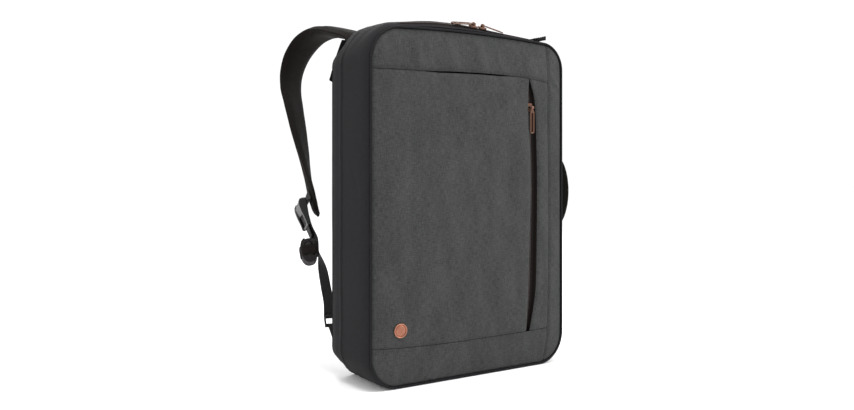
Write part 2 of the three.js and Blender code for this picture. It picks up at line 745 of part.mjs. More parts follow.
// A folded cloth tab that stands off the end of the main zip at the right corner
function endTab() {
  const start = zipSpan / 2 + clearance;
  const y = frontSeam + zipSetback + endTabWidth / 4;
  const half = endTabWidth / 2;
  const ground = Math.max(topHeight(start, y), topHeight(start, y - half), topHeight(start, y + half));
  const base = ground + clearance;
  const rows = [
    { along: 0.0, low: 0.00, high: 0.25 },
    { along: 0.5, low: 0.02, high: 0.58 },
    { along: 1.0, low: -0.10, high: 1.00 },
  ];
  return loftSolid(rows.map(({ along, low, high }) => {
    const x = start + along * endTabLength;
    const [a, b] = [base + low * endTabRise, base + high * endTabRise];
    return [vec(x, y - half, a), vec(x, y + half, a), vec(x, y + half, b), vec(x, y - half, b)];
  }));
}

// Copper rivet: a low dome with a rolled rim, square to the pocket's face
function rivet() {
  const at = ({ out, rise }) => new THREE.Vector2(out * rivetRadius, rise * rivetHeight);
  const profile = rivetProfile.map(at);
  const mesh = named('front_rivet', new THREE.LatheGeometry(profile, 24), copper());
  const x = rivetPlace.across * halfWidth;
  const z = panelZ(rivetPlace.up);
  const step = rivetRadius / 2;
  const slopeX = (frontFace(x + step, z) - frontFace(x - step, z)) / (2 * step);
  const slopeZ = (frontFace(x, z + step) - frontFace(x, z - step)) / (2 * step);
  const normal = vec(slopeX, -1, slopeZ).normalize();
  mesh.quaternion.setFromUnitVectors(vec(0, 1, 0), normal);
  mesh.position.set(x, frontFace(x, z), z).addScaledVector(normal, clearance);
  return mesh;
}

// Padded back panel: flat inside, swelled outside
function backPanel() {
  const edge = ringAt(1, edgeOffset);
  const middle = vec(0, 0, panelMiddle);
  const loops = [1, 0.97, 0.88, 0.66, 0.33].map((share) => edge.map((p) => {
    const x = lerp(middle.x, p.x, share);
    const z = lerp(middle.z, p.z, share);
    return vec(x, share === 1 ? backSeam : backFace(x, z), z);
  }));
  const inside = edge.map((p) => vec(p.x, backSeam - backPadding, p.z));
  return loftSolid([inside, ...loops]);
}

// Flap over the strap pocket: sewn in under the top of the back, its lower edge stands off
const flapTop = panelTop - clothWall;
const flapHalfWidth = (z) => halfWidth * lerp(0.90, 0.97, (flapTop - z) / flapDrop);
const flapInner = (x, z) => backFace(x, z) + bandRest + flapLift * ((flapTop - z) / flapDrop) ** 1.3;
function strapFlap() {
  const [columns, rows] = [12, 5];
  const inner = Array.from({ length: rows + 1 }, (_, i) => Array.from({ length: columns + 1 }, (__, j) => {
    const z = flapTop - flapDrop * i / rows;
    const x = flapHalfWidth(z) * lerp(-1, 1, j / columns);
    const round = i === 0 ? 0.035 * panelCorner * Math.abs(j / columns * 2 - 1) ** 8 : 0;
    return vec(x, flapInner(x, z), z - round);
  }));
  const outer = inner.map((row) => row.map((p) => vec(p.x, p.y + clothWall, p.z)));
  return sheetSolid(outer, inner);
}

// Place of a strap row on the left (-1) or right (1) side
const strapPoint = (row, side) => vec(
  side * row.out * halfWidth,
  backSeam + row.back * strapReach,
  row.up * panelTop,
);
const strapAcross = (row, side) => vec(Math.cos(degToRad(row.turn)), -side * Math.sin(degToRad(row.turn)), 0);

// Sections square to a path, with a width direction for each point
function bandSections(rows, outline) {
  return rows.map((row, i) => {
    const before = rows[Math.max(i - 1, 0)].point;
    const after = rows[Math.min(i + 1, rows.length - 1)].point;
    const ahead = after.clone().sub(before).normalize();
    const across = row.across.clone().addScaledVector(ahead, -row.across.dot(ahead)).normalize();
    const through = vec(0, 0, 0).crossVectors(ahead, across);
    return outline.map(([a, b]) => row.point.clone()
      .addScaledVector(across, a * row.wide)
      .addScaledVector(through, b * row.thick));
  });
}

// The padded section has rounded edges, webbing is a plain strip
const paddedOutline = [
  [-0.5, -0.16], [-0.42, -0.42], [-0.16, -0.5], [0.16, -0.5], [0.42, -0.42], [0.5, -0.16],
  [0.5, 0.16], [0.42, 0.42], [0.16, 0.5], [-0.16, 0.5], [-0.42, 0.42], [-0.5, 0.16],
];
const stripOutline = [[-0.5, -0.5], [0.5, -0.5], [0.5, 0.5], [-0.5, 0.5]];

// The strap's foot lies on the flap and hangs down from where the strap leaves it
function strapFoot(side) {
  const x = side * strapRows[0].out * halfWidth;
  return strapFootShares.map((share) => {
    const z = flapTop - share * flapDrop;
    const y = flapInner(x, z) + clothWall + clearance + footGap + strapFootThickness / 2;
    return { point: vec(x, y, z), across: vec(1, 0, 0), wide: strapFootWidth, thick: strapFootThickness };
  });
}

function paddedStrap(side) {
  const upper = strapRows.map((row) => ({
    point: strapPoint(row, side),
    across: strapAcross(row, side),
    wide: row.wide * strapWidth,
    thick: row.thick * strapPadding,
  }));
  return loftSolid(bandSections([...strapFoot(side), ...upper], paddedOutline));
}

// Axes of a piece that hangs on a strap: across its webbing, out from the bag, and up
function hangingAxes(place, side) {
  const up = vec(0, Math.sin(degToRad(place.lean)), Math.cos(degToRad(place.lean)));
  const level = strapAcross(place, side);
  const across = level.addScaledVector(up, -level.dot(up)).normalize();
  return { across, out: vec(0, 0, 0).crossVectors(up, across), up };
}

function hang(mesh, at, { across, out, up }) {
  mesh.position.copy(at);
  mesh.quaternion.setFromRotationMatrix(new THREE.Matrix4().makeBasis(across, out, up));
  return mesh;
}

// Rows of webbing folded round a bar
const foldRadius = loopBarRadius + clearance + webbingThickness / 2;
function foldedRows(centre, { across, out, up }, { from, to, steps }) {
  return Array.from({ length: steps + 1 }, (_, i) => {
    const angle = degToRad(lerp(from, to, i / steps));
    const point = centre.clone()
      .addScaledVector(out, foldRadius * Math.cos(angle))
      .addScaledVector(up, foldRadius * Math.sin(angle));
    return { point, across };
  });
}

function webbingSolid(rows) {
  const wide = rows.map((row) => ({ ...row, wide: webbingWidth, thick: webbingThickness }));
  return loftSolid(bandSections(wide, stripOutline));
}

// Ladder-lock buckle: two rails and three bars
const barSpan = webbingWidth + 2 * clearance + webbingSlack;
const buckleBars = [0.5, 0.02, -0.5].map((share) => share * (buckleHeight - buckleThickness));
function buckleSolid() {
  const rails = [-1, 1].map((side) => {
    const rail = new THREE.CylinderGeometry(buckleThickness / 2, buckleThickness / 2, buckleHeight, 8);
    rail.rotateX(Math.PI / 2).scale(buckleRail / buckleThickness, 1, 1);
    return rail.translate(side * (barSpan + buckleRail) / 2, 0, 0);
  });
  const bars = buckleBars.map((z) => {
    const bar = new THREE.CylinderGeometry(loopBarRadius, loopBarRadius, barSpan + buckleRail, 8);
    return bar.rotateZ(Math.PI / 2).translate(0, 0, z);
  });
  return joined([...rails, ...bars]);
}

// Lower loop: a rounded rectangle of round wire
function loopSolid() {
  const corner = 2 * loopBarRadius;
  const [reach, rise] = [barSpan / 2 + loopBarRadius - corner, loopHeight / 2 - corner];
  const centreLine = [[reach, rise], [-reach, rise], [-reach, -rise], [reach, -rise]].flatMap(([x, z], i) => (
    [0, 30, 60, 90].map((step) => {
      const angle = degToRad(90 * i + step);
      const out = vec(Math.cos(angle), 0, Math.sin(angle));
      return { at: vec(x, 0, z).addScaledVector(out, corner), out };
    })
  ));
  const sides = 6;
  const sections = centreLine.map(({ at, out }) => Array.from({ length: sides }, (_, k) => {
    const angle = 2 * Math.PI * (k + 0.5) / sides;
    const point = at.clone().addScaledVector(out, loopBarRadius * Math.cos(angle));
    return point.add(vec(0, loopBarRadius * Math.sin(angle), 0));
  }));
  return loftSolid(sections, true);
}

// Buckle at the strap's tip, and the fold of webbing that holds its top bar to the strap's face
function strapBuckle(side, name) {
  const axes = hangingAxes(bucklePlace, side);
  const at = strapPoint(bucklePlace, side);
  const bar = (index) => at.clone().addScaledVector(axes.up, buckleBars[index]);
  const [near, far] = strapRows.slice(-3, -1).reverse().map((row) => {
    const off = row.thick * strapPadding / 2 + clearance + webbingThickness / 2 + seatGap;
    return strapPoint(row, side).addScaledVector(axes.out, off);
  });
  const landing = foldLanding.map((share) => ({ point: near.clone().lerp(far, share), across: axes.across }));
  const fold = foldedRows(bar(0), axes, folds.buckle);
  return {
    pieces: [
      hang(named(`buckle_${name}`, buckleSolid(), plastic(0x3a3b3e)), at, axes),
      named(`buckle_fold_${name}`, webbingSolid([...fold, ...landing]), strapCloth()),
    ],
    middleBar: bar(1),
    lowBar: bar(2),
    axes,
  };
}

// Everything that hangs from the end of one strap
function strapHardware(side) {
  const name = side < 0 ? 'left' : 'right';
  const { pieces, middleBar, lowBar, axes } = strapBuckle(side, name);

  // The lower webbing comes up from the lower loop behind the buckle's low bar, is folded
  // over its middle bar, and its spare end goes down into a bundle on its outer face
  const bundleAxes = hangingAxes(bundlePlace, side);
  const bundleAt = strapPoint(bundlePlace, side)
    .addScaledVector(bundleAxes.out, rollThickness / 2 + webbingThickness / 2 + rollGap);
  const bundleTop = bundleAt.clone().addScaledVector(bundleAxes.up, rollHeight / 2 + rollSeat);
  const loopAxes = hangingAxes(loopPlace, side);
  const loopAt = strapPoint(loopPlace, side);
  const wire = loopHeight / 2;
  const underBar = lowBar.clone()
    .addScaledVector(axes.out, -foldRadius - webbingSlack)
    .addScaledVector(axes.up, -foldRadius);
  const rows = [
    { point: bundleTop, across: bundleAxes.across },
    ...foldedRows(middleBar, axes, folds.middleBar),
    { point: underBar, across: axes.across },
    ...webbingRows.map((row) => ({ point: strapPoint(row, side), across: strapAcross(row, side) })),
    ...foldedRows(loopAt.clone().addScaledVector(loopAxes.up, wire), loopAxes, folds.loop),
  ];
  const roll = bundleRows.map(({ along, thick }) => ({
    point: bundleAt.clone().addScaledVector(bundleAxes.up, along * rollHeight),
    across: bundleAxes.across,
    wide: webbingWidth + 2 * webbingSlack,
    thick: thick * rollThickness,
  }));

  // The tab is folded through the lower loop and lies down on the back
  const tab = foldedRows(loopAt.clone().addScaledVector(loopAxes.up, -wire), loopAxes, folds.tab);
  const foot = tabFoot.map(({ out, up }) => {
    const [x, z] = [out * halfWidth, up * panelTop];
    const under = Math.max(backFace(x - webbingWidth / 2, z), backSeam + pipingRadius);
    return { point: vec(side * x, under + clearance + webbingThickness / 2, z), across: vec(1, 0, 0) };
  });

  const group = new THREE.Group();
  group.add(...pieces);
  group.add(named(`lower_webbing_${name}`, webbingSolid(rows), strapCloth()));
  group.add(named(`webbing_bundle_${name}`, loftSolid(bandSections(roll, paddedOutline)), strapCloth()));
  group.add(hang(named(`lower_loop_${name}`, loopSolid(), plastic(0x1d1d1f)), loopAt, loopAxes));
  group.add(named(`lower_tab_${name}`, webbingSolid([...tab, ...foot]), black()));
  return group;
}

// Padded handle on the right side, between two sewn patches
function carryHandle() {
  const y = frontSeam + handleSetback;
  const wall = halfWidth + sideSwell + clearance;
  const group = new THREE.Group();
  group.position.set(wall, y, handleHeight);
  const ends = handleSpan / 2 - handleThickness / 2;
  ['low', 'high'].forEach((name, i) => {
    const patch = new THREE.BoxGeometry(patchThickness, handleWidth, handlePatch);
    const mesh = named(`handle_patch_${name}`, patch, black());
    mesh.position.set(patchThickness / 2, 0, (i ? 1 : -1) * ends);
    group.add(mesh);
  });
  const steps = 14;
  const foot = patchThickness + clearance;
  const rows = Array.from({ length: steps + 1 }, (_, i) => {
    const along = i / steps;
    const angle = Math.PI * along;
    const rise = handleReach - handleThickness / 2 - foot;
    return {
      point: vec(foot + rise * Math.sin(angle) ** 0.9, 0, -ends * Math.cos(angle)),
      across: vec(0, 1, 0),
      wide: readTable(handleRows, 'along', 'wide', along) * handleWidth,
      thick: readTable(handleRows, 'along', 'thick', along) * handleThickness,
    };
  });
  const sections = bandSections(rows, paddedOutline);
  [0, steps].forEach((end) => sections[end].forEach((p) => p.setX(foot)));
  group.add(named('carry_handle', loftSolid(sections), black()));
  return group;
}

const bag = new THREE.Group();
bag.add(...frontPanels());
bag.add(named('front_piping', piping(0), black()));
bag.add(named('gusset_main', mainBand(), nylon()));
bag.add(named('gusset_back', backBand(), nylon()));
bag.add(named('back_piping', piping(1), black()));
bag.add(named('back_panel', backPanel(), black()));
bag.add(named('main_zip', mainZip(), cloth(0x33241f)));
bag.add(named('front_zip', frontZip(), cloth(0x33241f)));
bag.add(frontSlider());
bag.add(...topSliders());
bag.add(named('zip_end_tab', endTab(), nylon()));
bag.add(rivet());
bag.add(named('strap_flap', strapFlap(), nylon()));
bag.add(named('shoulder_strap_left', paddedStrap(-1), strapCloth()));
bag.add(named('shoulder_strap_right', paddedStrap(1), strapCloth()));
bag.add(strapHardware(-1));
bag.add(strapHardware(1));
bag.add(carryHandle());

export default bag;
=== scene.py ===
# Convertible backpack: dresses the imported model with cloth, seams, zips, webbing and metal
import math

import bmesh
import bpy
import numpy as np
from bpy.props import FloatProperty, FloatVectorProperty, PointerProperty
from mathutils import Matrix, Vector, noise


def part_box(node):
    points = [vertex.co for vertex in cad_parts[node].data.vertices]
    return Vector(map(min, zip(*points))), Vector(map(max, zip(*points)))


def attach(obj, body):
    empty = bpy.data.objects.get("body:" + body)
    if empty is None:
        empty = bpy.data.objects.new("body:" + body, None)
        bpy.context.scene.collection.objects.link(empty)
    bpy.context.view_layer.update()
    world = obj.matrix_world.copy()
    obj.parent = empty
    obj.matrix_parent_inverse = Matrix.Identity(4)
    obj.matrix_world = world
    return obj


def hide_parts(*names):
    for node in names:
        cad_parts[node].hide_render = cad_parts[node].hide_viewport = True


bl_info = {
    "name": "Convertible backpack",
    "version": (1, 0, 0),
    "blender": (4, 5, 0),
    "location": "View3D > Sidebar > Backpack",
    "description": "Builds the cloth, straps, zips and metal of a convertible backpack over its frame",
    "category": "Add Mesh",
}

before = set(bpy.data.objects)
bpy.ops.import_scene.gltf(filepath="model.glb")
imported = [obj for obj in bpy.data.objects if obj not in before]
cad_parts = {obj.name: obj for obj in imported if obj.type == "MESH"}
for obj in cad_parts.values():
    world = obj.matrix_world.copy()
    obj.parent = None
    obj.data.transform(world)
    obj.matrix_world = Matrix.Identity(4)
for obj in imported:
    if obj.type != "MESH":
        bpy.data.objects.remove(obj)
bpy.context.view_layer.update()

MM = 0.001
BODY = "bag"


# Colour and number helpers

def linear(code):
    """Linear colour from an sRGB hex code."""
    parts = [int(code[i:i + 2], 16) / 255 for i in (0, 2, 4)]
    return [p / 12.92 if p <= 0.04045 else ((p + 0.055) / 1.055) ** 2.4 for p in parts]


def mix(a, b, t):
    """The value a share of the way from one to another."""
    return a + (b - a) * t


def step(low, high, at):
    """Smooth step from 0 at low to 1 at high."""
    t = min(max((at - low) / (high - low), 0), 1)
    return t * t * (3 - 2 * t)


def bump(at, middle, width):
    """A rounded bump: 1 at the middle, dying away over the width."""
    return math.exp(-((at - middle) / width) ** 2)


class Smooth:
    """A curve through (at, value) rows that never overshoots them."""

    def __init__(self, rows):
        self.at = [row[0] for row in rows]
        self.value = [row[1] for row in rows]
        count = len(rows)
        rise = [(b[1] - a[1]) / (b[0] - a[0]) for a, b in zip(rows, rows[1:])]
        self.slope = [rise[0], *[0.0] * (count - 2), rise[-1]]
        for i in range(1, count - 1):
            if rise[i - 1] * rise[i] > 0:
                before, after = self.at[i] - self.at[i - 1], self.at[i + 1] - self.at[i]
                w1, w2 = 2 * after + before, after + 2 * before
                self.slope[i] = (w1 + w2) / (w1 / rise[i - 1] + w2 / rise[i])

    def __call__(self, at):
        if at <= self.at[0]:
            return self.value[0]
        if at >= self.at[-1]:
            return self.value[-1]
        i = next(k for k in range(1, len(self.at)) if at <= self.at[k]) - 1
        span = self.at[i + 1] - self.at[i]
        t = (at - self.at[i]) / span
        a, b = self.value[i], self.value[i + 1]
        m, n = self.slope[i] * span, self.slope[i + 1] * span
        return (a * (1 + 2 * t) * (1 - t) ** 2 + m * t * (1 - t) ** 2
                + b * t * t * (3 - 2 * t) + n * t * t * (t - 1))


# Settings that a user may change

def length(label, description, millimetres):
    """A size that a user may change, kept in metres."""
    return FloatProperty(name=label, description=description, default=millimetres * MM, min=0,
                         subtype="DISTANCE", unit="LENGTH", precision=5)


def share(label, description, value, highest=2.0):
    """A plain factor that a user may change."""
    return FloatProperty(name=label, description=description, default=value, min=0, max=highest)


def tone(label, code):
    """A colour that a user may change."""
    return FloatVectorProperty(name=label, description=f"{label}, in linear colour", default=linear(code),
                               subtype="COLOR", size=3, min=0, max=1)


class BackpackSizes(bpy.types.PropertyGroup):
    """Sizes of the cloth, its threads and its seams."""

    canvas_wall: length("Canvas", "Thickness of the front's canvas with its lining", 1.4)
    canvas_thread: length("Canvas thread", "Spacing of the canvas threads, drawn as coarse as shows", 0.95)
    nylon_thread: length("Nylon thread", "Spacing of the nylon's threads, drawn as coarse as shows", 0.8)
    webbing_rib: length("Webbing rib", "Spacing of the ribs across the webbing", 1.6)
    mesh_hole: length("Mesh hole", "Spacing of the holes in the back's mesh", 3.0)
    stitch: length("Stitch", "Length of one stitch", 2.4)
    stitch_gap: length("Stitch gap", "Gap between two stitches", 1.2)
    stitch_width: length("Stitch width", "Width of the sewing thread", 0.42)
    coil_pitch: length("Coil pitch", "Spacing of the zip coil's turns", 1.25)
    unevenness: share("Unevenness", "How strongly the stuffed cloth waves and creases", 1.0)
    gathers: share("Gathers", "How strongly the gusset gathers along its seams", 1.0)
    roll_turns: share("Roll turns", "Turns of spare webbing in a bundle", 2.6, 3.0)


class BackpackColours(bpy.types.PropertyGroup):
    """Colours of every finish, dark and light end."""

    canvas_dark: tone("Canvas, dark threads", "1F2020")
    canvas_light: tone("Canvas, light threads", "494A49")
    nylon_dark: tone("Nylon, dark", "131214")
    nylon_light: tone("Nylon, light", "1C1A1D")
    piping_dark: tone("Piping, dark", "121214")
    piping_light: tone("Piping, light", "1D1D1F")
    strap_dark: tone("Strap, dark", "100D0C")
    strap_light: tone("Strap, light", "1C1816")
    handle_dark: tone("Handle, dark", "141311")
    handle_light: tone("Handle, light", "1F1E1A")
    tape_dark: tone("Zip tape, dark", "0B0807")
    tape_light: tone("Zip tape, light", "17100E")
    coil_dark: tone("Zip coil, dark", "201817")
    coil_light: tone("Zip coil, light", "423634")
    webbing_dark: tone("Webbing, dark", "0F0E0E")
    webbing_light: tone("Webbing, light", "383534")
    # The holes' colour is painted shade in them
    mesh_dark: tone("Mesh holes", "0A0A0B")
    mesh_light: tone("Mesh", "2A2A2C")
    copper_dark: tone("Copper, in its hollows", "2A1A14")
    copper_light: tone("Copper, worn edges", "8A6A5B")
    rivet_dark: tone("Rivet, in its groove", "63372A")
    rivet_light: tone("Rivet, worn", "BE8670")
    buckle_dark: tone("Buckle, dark", "0B0C0D")
    buckle_light: tone("Buckle, light", "141517")
    loop_dark: tone("Loop, dark", "0E0E0F")
    loop_light: tone("Loop, light", "1A1A1C")


def sizes():
    """The sizes as they are set in the scene."""
    return bpy.context.scene.backpack_sizes


def tones(name):
    """The dark and the light colour of a finish."""
    colours = bpy.context.scene.backpack_colours
    return [tuple(getattr(colours, f"{name}_{end}")) for end in ("dark", "light")]


# Sizes of the body in millimetres, as in the frame
PANEL_WIDTH = 312
PANEL_HEIGHT = 442
PANEL_CORNER = 38
BODY_DEPTH = 99
SIDE_SWELL = 6
TOP_SWELL = 17
BOTTOM_SWELL = 3.5
TOP_CROWN = 3.2
CORNER_TUCK = 7
FRONT_SWELL = 9
BACK_SWELL = 8
CLOTH_WALL = 2
BACK_PADDING = 6
PIPING_RADIUS = 1.5
CLEARANCE = 0.3
ZIP_WIDTH = 10
ZIP_SETBACK = 9.5
ZIP_SPAN = 224
TAPE_THICKNESS = 1.3
FRONT_ZIP_DEPTH = 4.5
FRONT_ZIP_WIDTH = 26
STRAP_WIDTH = 58
STRAP_PADDING = 12
STRAP_REACH = 135
WEBBING_WIDTH = 24
WEBBING_THICKNESS = 1.5
BUCKLE_HEIGHT = 38
BUCKLE_THICKNESS = 4.4
BUCKLE_RAIL = 4.6
ROLL_HEIGHT = 35
ROLL_THICKNESS = 19
ROLL_GAP = 5
ROLL_SEAT = 1.35
WEBBING_SLACK = 1.8
SEAT_GAP = 0.9
LOOP_BAR = 1.6
LOOP_HEIGHT = 13
FLAP_DROP = 57
FLAP_LIFT = 14
HANDLE_SPAN = 130
HANDLE_REACH = 49
HANDLE_WIDTH = 30
HANDLE_THICKNESS = 13
PATCH_THICKNESS = 1.8
HANDLE_HEIGHT = 240
HANDLE_SETBACK = 0.495 * BODY_DEPTH

HALF_WIDTH = PANEL_WIDTH / 2
HALF_HEIGHT = PANEL_HEIGHT / 2
PANEL_TOP = BOTTOM_SWELL + PANEL_HEIGHT
PANEL_MIDDLE = BOTTOM_SWELL + HALF_HEIGHT
FRONT_SEAM = -BODY_DEPTH / 2
BACK_SEAM = BODY_DEPTH / 2
EDGE_OFFSET = CLOTH_WALL + CLEARANCE
BAND_REST = PIPING_RADIUS + CLEARANCE
RIDGE = 0.667

# Share of each swell at each share of the depth
SIDE_SHARE = Smooth([(0, 0), (0.04, 0.42), (0.10, 0.72), (0.20, 0.93), (0.43, 1), (0.63, 0.96),
                     (0.667, 1.16), (0.705, 0.96), (0.82, 0.78), (0.91, 0.28), (0.96, -0.28), (1, -0.72)])
TOP_SHARE = Smooth([(0, 0), (0.04, 0.35), (0.10, 0.66), (0.20, 0.90), (0.43, 1), (0.63, 1), (0.667, 1.03),
                    (0.705, 1), (0.82, 1), (0.91, 0.88), (0.96, 0.64), (1, 0.40)])
BOTTOM_SHARE = Smooth([(0, 0), (0.04, 0.6), (0.10, 1), (0.91, 1), (0.96, 0.6), (1, 0)])
TUCK_SHARE = Smooth([(0, 0), (0.10, 0), (0.20, 0.1), (0.43, 0.3), (0.63, 0.5), (0.82, 0.8), (0.96, 1),
                     (1, 1)])
TOP_SAG = Smooth([(-1, 0.45), (-0.80, 0.59), (-0.62, 0.75), (-0.45, 0.91), (-0.30, 0.98), (-0.14, 0.97),
                  (0.03, 0.85), (0.21, 0.68), (0.36, 0.55), (0.54, 0.45), (0.80, 0.33), (1, 0.28)])
CORNERS = {"bottom_right": 1.05, "top_right": 0.90, "top_left": 1.08, "bottom_left": 0.97}

# Front seams: shares of the half width against shares of the height
TOP_SEAM = Smooth([(-1, 0.883), (-0.54, 0.885), (-0.18, 0.890), (0.13, 0.892), (0.44, 0.891),
                   (0.83, 0.879)])
BOTTOM_SEAM = Smooth([(-1, 0.110), (-0.64, 0.106), (-0.19, 0.103), (0.24, 0.104), (0.83, 0.106)])
SIDE_SEAM = Smooth([(0, 0.788), (0.106, 0.818), (0.324, 0.827), (0.546, 0.831), (0.747, 0.818),
                    (0.879, 0.826), (1, 0.822)])
GAPE_LEFT = Smooth([(0.104, 0.560), (0.263, 0.578), (0.384, 0.590), (0.550, 0.604), (0.710, 0.592),
                    (0.812, 0.575), (0.884, 0.595)])
GAPE_RIGHT = Smooth([(0.104, 0.600), (0.263, 0.671), (0.384, 0.677), (0.550, 0.684), (0.710, 0.672),
                     (0.812, 0.658), (0.884, 0.602)])
SLIP_MOUTH = Smooth([(-1, 0), (-0.56, 0), (-0.36, 0.8), (0.20, 0.8), (0.46, 0), (1, 0)])
FRONT_ZIP_SHARE = 0.30

# Left shoulder strap: out, back, up, turn in degrees, wide, thick
STRAP_ROWS = [
    (0.590, 0.172, 0.984, 0, 0.86, 0.62), (0.622, 0.259, 1.016, 2, 0.92, 0.92),
    (0.667, 0.415, 1.032, 5, 1.00, 1.14), (0.718, 0.607, 1.045, 9, 1.00, 1.20),
    (0.778, 0.765, 1.042, 14, 1.00, 1.20), (0.840, 0.905, 1.018, 20, 1.00, 1.14),
    (0.898, 1.010, 0.972, 26, 0.99, 1.08), (0.935, 1.050, 0.918, 31, 0.97, 1.02),
    (0.952, 1.020, 0.864, 34, 0.94, 1.00), (0.962, 0.925, 0.806, 37, 0.90, 0.96),
    (0.969, 0.815, 0.741, 39, 0.84, 0.92), (0.971, 0.718, 0.676, 45, 0.78, 0.88),
    (0.972, 0.622, 0.609, 57, 0.72, 0.84), (0.972, 0.526, 0.545, 69, 0.66, 0.76),
    (0.970, 0.452, 0.502, 75, 0.56, 0.62), (0.968, 0.366, 0.474, 75, 0.22, 0.40),
]
STRAP_FEET = (0.62, 0.36)

# Webbing under the buckle, and what hangs on it: out, back, up, turn, lean
WEBBING_ROWS = [(1.006, 0.352, 0.398, 84), (0.988, 0.308, 0.358, 62), (0.972, 0.266, 0.310, 35),
                (0.958, 0.230, 0.258, 30), (0.946, 0.203, 0.213, 31)]
BUCKLE_PLACE = (1.065, 0.448, 0.472, 76, 21)
BUNDLE_PLACE = (0.998, 0.290, 0.366, 68, 22)
LOOP_PLACE = (0.940, 0.167, 0.156, 34, 14)
TAB_FOOT = [(0.900, 0.102), (0.900, 0.073)]
FOLD_LANDING = (0.25, 0.75)
HANDLE_THICK = Smooth([(0, 0.45), (0.14, 0.70), (0.28, 1), (0.72, 1), (0.86, 0.70), (1, 0.45)])
HANDLE_WIDE = Smooth([(0, 0.86), (0.14, 0.90), (0.28, 1), (0.72, 1), (0.86, 0.90), (1, 0.86)])


# Shape of the body

def panel_z(share):
    """Height of a share of the panel."""
    return BOTTOM_SWELL + share * PANEL_HEIGHT


def share_up(z):
    """Share of the panel at a height."""
    return (z - BOTTOM_SWELL) / PANEL_HEIGHT


def corner_radius(name):
    """Radius of one of the panel's corners, by its name."""
    return CORNERS[name] * PANEL_CORNER


def corner_turn(edge, x):
    """How far the corners of the top or bottom edge have turned in at a place across."""
    for side, sign in (("right", 1), ("left", -1)):
        radius = corner_radius(f"{edge}_{side}")
        past = sign * x - HALF_WIDTH + radius
        if past > 0:
            return radius - math.sqrt(max(radius ** 2 - past ** 2, 0))
    return 0


def edge_top(x):
    """The panel's top edge, crowned between its corners."""
    start, end = HALF_WIDTH - corner_radius("top_right"), -HALF_WIDTH + corner_radius("top_left")
    t = (x - start) / (end - start)
    return PANEL_TOP - corner_turn("top", x) + TOP_CROWN * max(1 - (2 * t - 1) ** 2, 0)


def edge_bottom(x):
    """The panel's bottom edge, which only its corners bend."""
    return BOTTOM_SWELL + corner_turn("bottom", x)


def seam_line():
    """Points (x, z, across, up) of the panel's seam, anticlockwise from the bottom left."""
    low, top = BOTTOM_SWELL, PANEL_TOP
    bl, br, tr, tl = map(corner_radius, ("bottom_left", "bottom_right", "top_right", "top_left"))
    line = []

    def corner(x, z, radius, start, steps=14):
        for i in range(steps):
            angle = math.radians(start + 90 * i / steps)
            across, up = math.cos(angle), math.sin(angle)
            line.append((x + radius * across, z + radius * up, across, up))

    def edge(start, end, steps, normal):
        for i in range(steps):
            t = i / steps
            line.append((mix(start[0], end[0], t), mix(start[1], end[1], t), *normal))

    edge((-HALF_WIDTH + bl, low), (HALF_WIDTH - br, low), 60, (0, -1))
    corner(HALF_WIDTH - br, low + br, br, -90)
    edge((HALF_WIDTH, low + br), (HALF_WIDTH, top - tr), 80, (1, 0))
    corner(HALF_WIDTH - tr, top - tr, tr, 0)
    half_zip = ZIP_SPAN / 2
    runs = [(HALF_WIDTH - tr, half_zip, 3), (half_zip, -half_zip, 72), (-half_zip, -HALF_WIDTH + tl, 1)]
    for a, b, steps in runs:
        for i in range(steps):
            x = mix(a, b, i / steps)
            line.append((x, edge_top(x), 0, 1))
    corner(-HALF_WIDTH + tl, top - tl, tl, 90)
    edge((-HALF_WIDTH, top - tl), (-HALF_WIDTH, low + bl), 80, (-1, 0))
    corner(-HALF_WIDTH + bl, low + bl, bl, 180)
    return line


SEAM_LINE = seam_line()


def swell(x, across, up, depth):
    """How far the gusset stands out from the panel's seam."""
    side = EDGE_OFFSET + SIDE_SHARE(depth) * (SIDE_SWELL - EDGE_OFFSET)
    bottom = EDGE_OFFSET + BOTTOM_SHARE(depth) * (BOTTOM_SWELL - EDGE_OFFSET)
    top = EDGE_OFFSET + TOP_SHARE(depth) * TOP_SAG(x / HALF_WIDTH) * (TOP_SWELL - EDGE_OFFSET)
    tuck = 4 * (across * up) ** 2 * TUCK_SHARE(depth) * CORNER_TUCK
    return across ** 2 * side + up ** 2 * (top if up > 0 else bottom) - tuck


def ring_at(depth, inset=0.0, relief=None):
    """The gusset's ring of points at a share of the depth."""
    y = mix(FRONT_SEAM, BACK_SEAM, depth)
    points = []
    for x, z, across, up in SEAM_LINE:
        out = swell(x, across, up, depth) - inset
        if relief:
            out += relief(x, y, z)
        points.append(Vector((x + across * out, y, z + up * out)))
    return points


def top_height(x, y):
    """Height of the gusset's top over a place between its corners."""
    return edge_top(x) + swell(x, 0, 1, (y - FRONT_SEAM) / BODY_DEPTH)


def fullness(x, z):
    """How full the stuffed panel stands at a place: 1 in its middle and 0 at its seam."""
    across = min(abs(x) / HALF_WIDTH, 1)
    up = min(abs(z - PANEL_MIDDLE) / HALF_HEIGHT, 1)
    return (1 - across ** 5) * (1 - up ** 6)


def front_face(x, z):
    """Depth of the front's plain outer face."""
    return FRONT_SEAM - FRONT_SWELL * fullness(x, z)


def back_face(x, z):
    """Depth of the back's plain outer face."""
    return BACK_SEAM + BACK_SWELL * fullness(x, z)


def top_seam(x):
    """Height of the seam between the pocket and the top band."""
    return panel_z(TOP_SEAM(x / HALF_WIDTH))


def bottom_seam(x):
    """Height of the seam between the pocket and the bottom band."""
    return panel_z(BOTTOM_SEAM(x / HALF_WIDTH))


def side_seam(z):
    """Where the side strip's seam lies at a height."""
    return HALF_WIDTH * SIDE_SEAM(share_up(z))


def gape_left(z):
    """The pocket's edge beside the front zip."""
    return HALF_WIDTH * GAPE_LEFT(share_up(z))


def gape_right(z):
    """The placket's edge beside the front zip."""
    return HALF_WIDTH * GAPE_RIGHT(share_up(z))


